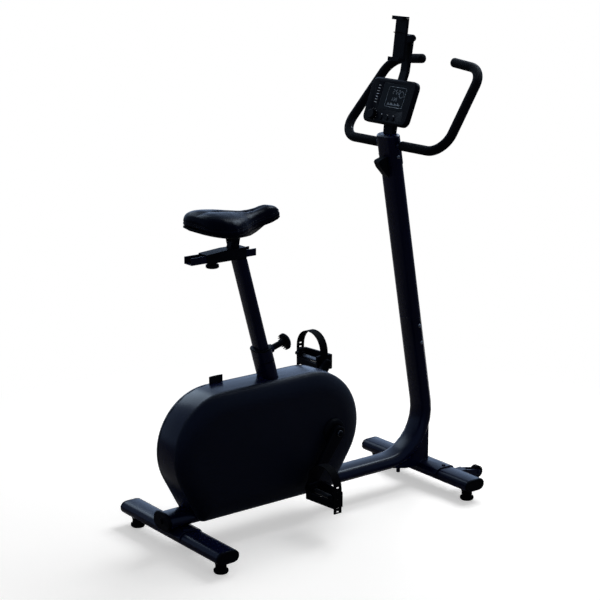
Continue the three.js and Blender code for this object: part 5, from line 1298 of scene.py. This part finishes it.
class BIKE_OT_console(bpy.types.Operator):
    """Console case, display with its segments, dial and keys, and the tablet holder"""

    bl_idname = "bike.dress_console"
    bl_label = "Console"

    def execute(self, context):
        dress_all("plastic", "black_plastic", "console_housing", "console_bracket")
        dress("console_lens", "lens", "display")
        dress_all(
            "plastic", "satin_plastic", "console_dial", "console_key_left", "console_key_middle",
            "console_key_right", edge=0.0004,
        )
        dress_all("plastic", "black_plastic", "holder_arm", "holder_plate", "holder_jaw")
        turn = tuple(Matrix((-SIDEWAYS, FACE_UP, FACE_OUT)).transposed().to_euler())
        self.display(turn, 0.0002 + front_of("console_lens", LENS_Y, LENS_RISE))
        self.printing(turn, front_of("console_housing"))
        ribs(
            "console_dial_ribs", middle("console_dial"), FACE_OUT, 0.0005, DIAL_RIBS, DIAL_RIB_RADIUS, DIAL_RIB,
            "plastic", body_of_node["console_dial"], "satin_plastic",
        )
        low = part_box("holder_jaw")[0]
        pad_line = [[Vector((low.x + JAW_PAD_IN, y, low.z + JAW_PAD_UP)) for y in JAW_PAD_ENDS]]
        beads("jaw_pad_ribs", pad_line, JAW_PAD_PITCH, JAW_PAD_RIB, "rubber", "holder_jaw", "rubber")
        return {"FINISHED"}

    @staticmethod
    def display(turn, proud):
        """Generic figures, a ring graph and a bar graph behind the window."""
        made = ("segments", "frame", "display")
        flat, upright = [], []
        for rise, size, figures in FIGURE_ROWS:
            for i, figure in enumerate(figures):
                for dy, dz in (BAR_PLACES[bar] for bar in DIGIT_BARS[figure]):
                    y = FIGURES_Y - i * size * FIGURE_STEP + dy * size * BAR_SPREAD
                    (flat if dy == 0 else upright).append(on_face(proud, y, rise + dz * size))
        blocks("display_bars_flat", flat, FLAT_BAR, turn, *made)
        blocks("display_bars_upright", upright, UPRIGHT_BAR, turn, *made)
        ring = [
            on_face(proud, RING_Y + RING_RADIUS * c, RING_RISE + RING_RADIUS * s)
            for c, s in arc(0, math.tau, RING_MARKS)[:-1]
        ]
        blocks("display_ring", ring, RING_MARK, turn, *made)
        steps = [
            on_face(proud, GRAPH_Y - GRAPH_COLUMN * i, GRAPH_RISE + GRAPH_ROW * j)
            for i, height in enumerate(GRAPH_HEIGHTS) for j in range(height)
        ]
        blocks("display_graph", steps, GRAPH_MARK, turn, *made)
        (left, right), (bottom, top) = WINDOW_Y, WINDOW_RISE
        corners = ((left, bottom), (left, top), (right, top), (right, bottom), (left, bottom))
        outline = [on_face(proud, y, rise) for y, rise in corners]
        welt("display_frame", [outline], 0.0004, *made, bend=0.004, sides=6)

    @staticmethod
    def printing(turn, front):
        """Plain marks on the console's face: a column beside the window, one at each key, the dial's scale."""
        made = ("printing", "frame", "satin_plastic")
        column = [on_face(front, COLUMN_Y, rise) for rise in COLUMN_RISES]
        blocks("console_marks_wide", column, COLUMN_MARK, turn, *made)
        keys = [on_face(front, y, KEY_MARK_RISE) for y in KEY_Y]
        blocks("console_marks_keys", keys, KEY_MARK, turn, *made)
        scale = [
            on_face(front, DIAL_Y + DIAL_SCALE * math.sin(a), DIAL_RISE + DIAL_SCALE * math.cos(a))
            for a in SCALE_TURNS
        ]
        blocks("console_dial_scale", scale, SCALE_MARK, turn, *made)


# ---------------- studio

FLOOR_REACH = 14
WHITE_FROM, WHITE_BY = 0.8, 1.6
WHITE = (1, 1, 1, 1)
KEY_PLACE, STREAK_PLACE, RIM_PLACE = (1.75, 0.5, 2.7), (1.8, 0.5, 2.75), (0.0, 2.7, 2.55)
LOW_MIDDLE, LOW_REAR = (0.0, 0.0, 0.3), (-0.3, 0.0, 0.4)
SENSOR, FARTHEST = 36, 60


def aim(thing, direction):
    """Turns a lamp or the camera to look along a direction."""
    thing.rotation_euler = direction.to_track_quat("-Z", "Y").to_euler()


def lamp(name, watts, place, target, size, tint=None):
    """A soft lamp; one that has a tint is seen in reflections only."""
    light = bpy.data.lights.new(name, "AREA")
    light.energy = watts
    light.size = size
    if tint is not None:
        light.color = tint
    held = link(name, light)
    held.location = place
    held.visible_diffuse = tint is None
    aim(held, Vector(target) - Vector(place))


def looking(tree, path):
    """Whether a ray is one that looks along or through, and not one that gathers light."""
    return maths(tree, "MAXIMUM", path["Is Camera Ray"], path["Is Transmission Ray"])


def mix_shaders(tree, factor, below, above):
    return feed_in_order(tree, tree.nodes.new("ShaderNodeMixShader"), factor, below, above)


def floor_material(studio):
    """A diffuse floor that keeps the shadow near the bike and fades into the white backdrop further out."""
    material = bpy.data.materials.new("studio_floor")
    material.use_nodes = True
    tree = material.node_tree
    tree.nodes.clear()
    place = tree.nodes.new("ShaderNodeTexCoord").outputs["Object"]
    distance = step(tree, "ShaderNodeVectorMath", {"operation": "LENGTH"}, Vector=place)
    far = mapped(tree, distance.outputs["Value"], WHITE_FROM, WHITE_BY)
    diffuse = step(tree, "ShaderNodeBsdfDiffuse", Color=(*studio.floor_tone, 1))
    seen = looking(tree, tree.nodes.new("ShaderNodeLightPath").outputs)
    glow = step(tree, "ShaderNodeEmission", Strength=times(tree, seen, studio.floor_lift))
    near = feed_in_order(tree, tree.nodes.new("ShaderNodeAddShader"), diffuse, glow)
    mixed = mix_shaders(tree, times(tree, far, seen), near, step(tree, "ShaderNodeEmission", Strength=1.0))
    step(tree, "ShaderNodeOutputMaterial", Surface=mixed)
    return material


def build_world(studio):
    """Soft even light, a white backdrop, and a pale blue sky for the reflections."""
    world = bpy.data.worlds.new("studio_world")
    world.use_nodes = True
    tree = world.node_tree
    tree.nodes.clear()
    soft = step(tree, "ShaderNodeBackground", Color=WHITE, Strength=studio.sky_light)
    shine = step(tree, "ShaderNodeBackground", Color=(*studio.sky_shine, 1), Strength=studio.shine_level)
    white = step(tree, "ShaderNodeBackground", Color=WHITE, Strength=1.0)
    path = tree.nodes.new("ShaderNodeLightPath").outputs
    light = mix_shaders(tree, path["Is Glossy Ray"], soft, shine)
    step(tree, "ShaderNodeOutputWorld", Surface=mix_shaders(tree, looking(tree, path), light, white))
    return world


class BIKE_OT_studio(bpy.types.Operator):
    """Pale floor, white backdrop, lamps and camera"""

    bl_idname = "bike.build_studio"
    bl_label = "Studio"

    def execute(self, context):
        scene = context.scene
        studio = scene.bike_studio
        scene.view_settings.view_transform = "Standard"
        corners = [(x * FLOOR_REACH, y * FLOOR_REACH, 0) for x, y in ((-1, -1), (1, -1), (1, 1), (-1, 1))]
        floor = raw("studio_floor", corners, (), [(0, 1, 2, 3)])
        floor.data.materials.append(floor_material(studio))
        scene.world = build_world(studio)
        lamp("key_lamp", studio.key_power, KEY_PLACE, LOW_MIDDLE, size=2.0)
        lamp("streak_lamp", studio.streak_power, STREAK_PLACE, LOW_MIDDLE, size=1.4, tint=studio.shine_tone)
        lamp("rim_lamp", studio.rim_power, RIM_PLACE, LOW_REAR, size=1.6, tint=studio.shine_tone)
        camera = link("studio_camera", bpy.data.cameras.new("studio_camera"))
        camera.location = (REAR_X - studio.camera_back, -studio.camera_right, studio.camera_height)
        turn, dip = studio.camera_turn, studio.camera_dip
        aim(camera, Vector((math.cos(dip) * math.cos(turn), math.cos(dip) * math.sin(turn), -math.sin(dip))))
        camera.data.lens = studio.focal_length
        camera.data.sensor_width = SENSOR
        camera.data.shift_y = studio.shift
        camera.data.clip_end = FARTHEST
        scene.camera = camera
        return {"FINISHED"}


class BIKE_PT_panel(bpy.types.Panel):
    """Builds the pieces one group at a time"""

    bl_idname = "BIKE_PT_panel"
    bl_label = "Exercise Bike"
    bl_space_type = "VIEW_3D"
    bl_region_type = "UI"
    bl_category = "Exercise Bike"

    def draw(self, context):
        for operator in OPERATORS:
            self.layout.operator(operator.bl_idname)


SETTINGS = {
    "bike_finish": BikeFinishSettings,
    "bike_housing": BikeHousingSettings,
    "bike_saddle": BikeSaddleSettings,
    "bike_bar": BikeBarSettings,
    "bike_trim": BikeTrimSettings,
    "bike_studio": BikeStudioSettings,
}
OPERATORS = [
    BIKE_OT_studio, BIKE_OT_frame, BIKE_OT_base_trim, BIKE_OT_housing, BIKE_OT_drive, BIKE_OT_seat,
    BIKE_OT_handlebar, BIKE_OT_console,
]
CLASSES = (*SETTINGS.values(), *OPERATORS, BIKE_PT_panel)


def register():
    for item in CLASSES:
        bpy.utils.register_class(item)
    for name, item in SETTINGS.items():
        setattr(bpy.types.Scene, name, PointerProperty(type=item))


def unregister():
    for name in SETTINGS:
        delattr(bpy.types.Scene, name)
    for item in reversed(CLASSES):
        bpy.utils.unregister_class(item)


def main():
    register()
    FINISHES.update(make_finishes())
    TREES.update(beads=bead_tree(), cord=cord_tree(), ribs=rib_tree(), screws=screw_tree(), blocks=block_tree())
    for operator in OPERATORS:
        getattr(bpy.ops.bike, operator.bl_idname.partition(".")[2])()
    bpy.context.view_layer.update()


if __name__ == "__main__":
    main()
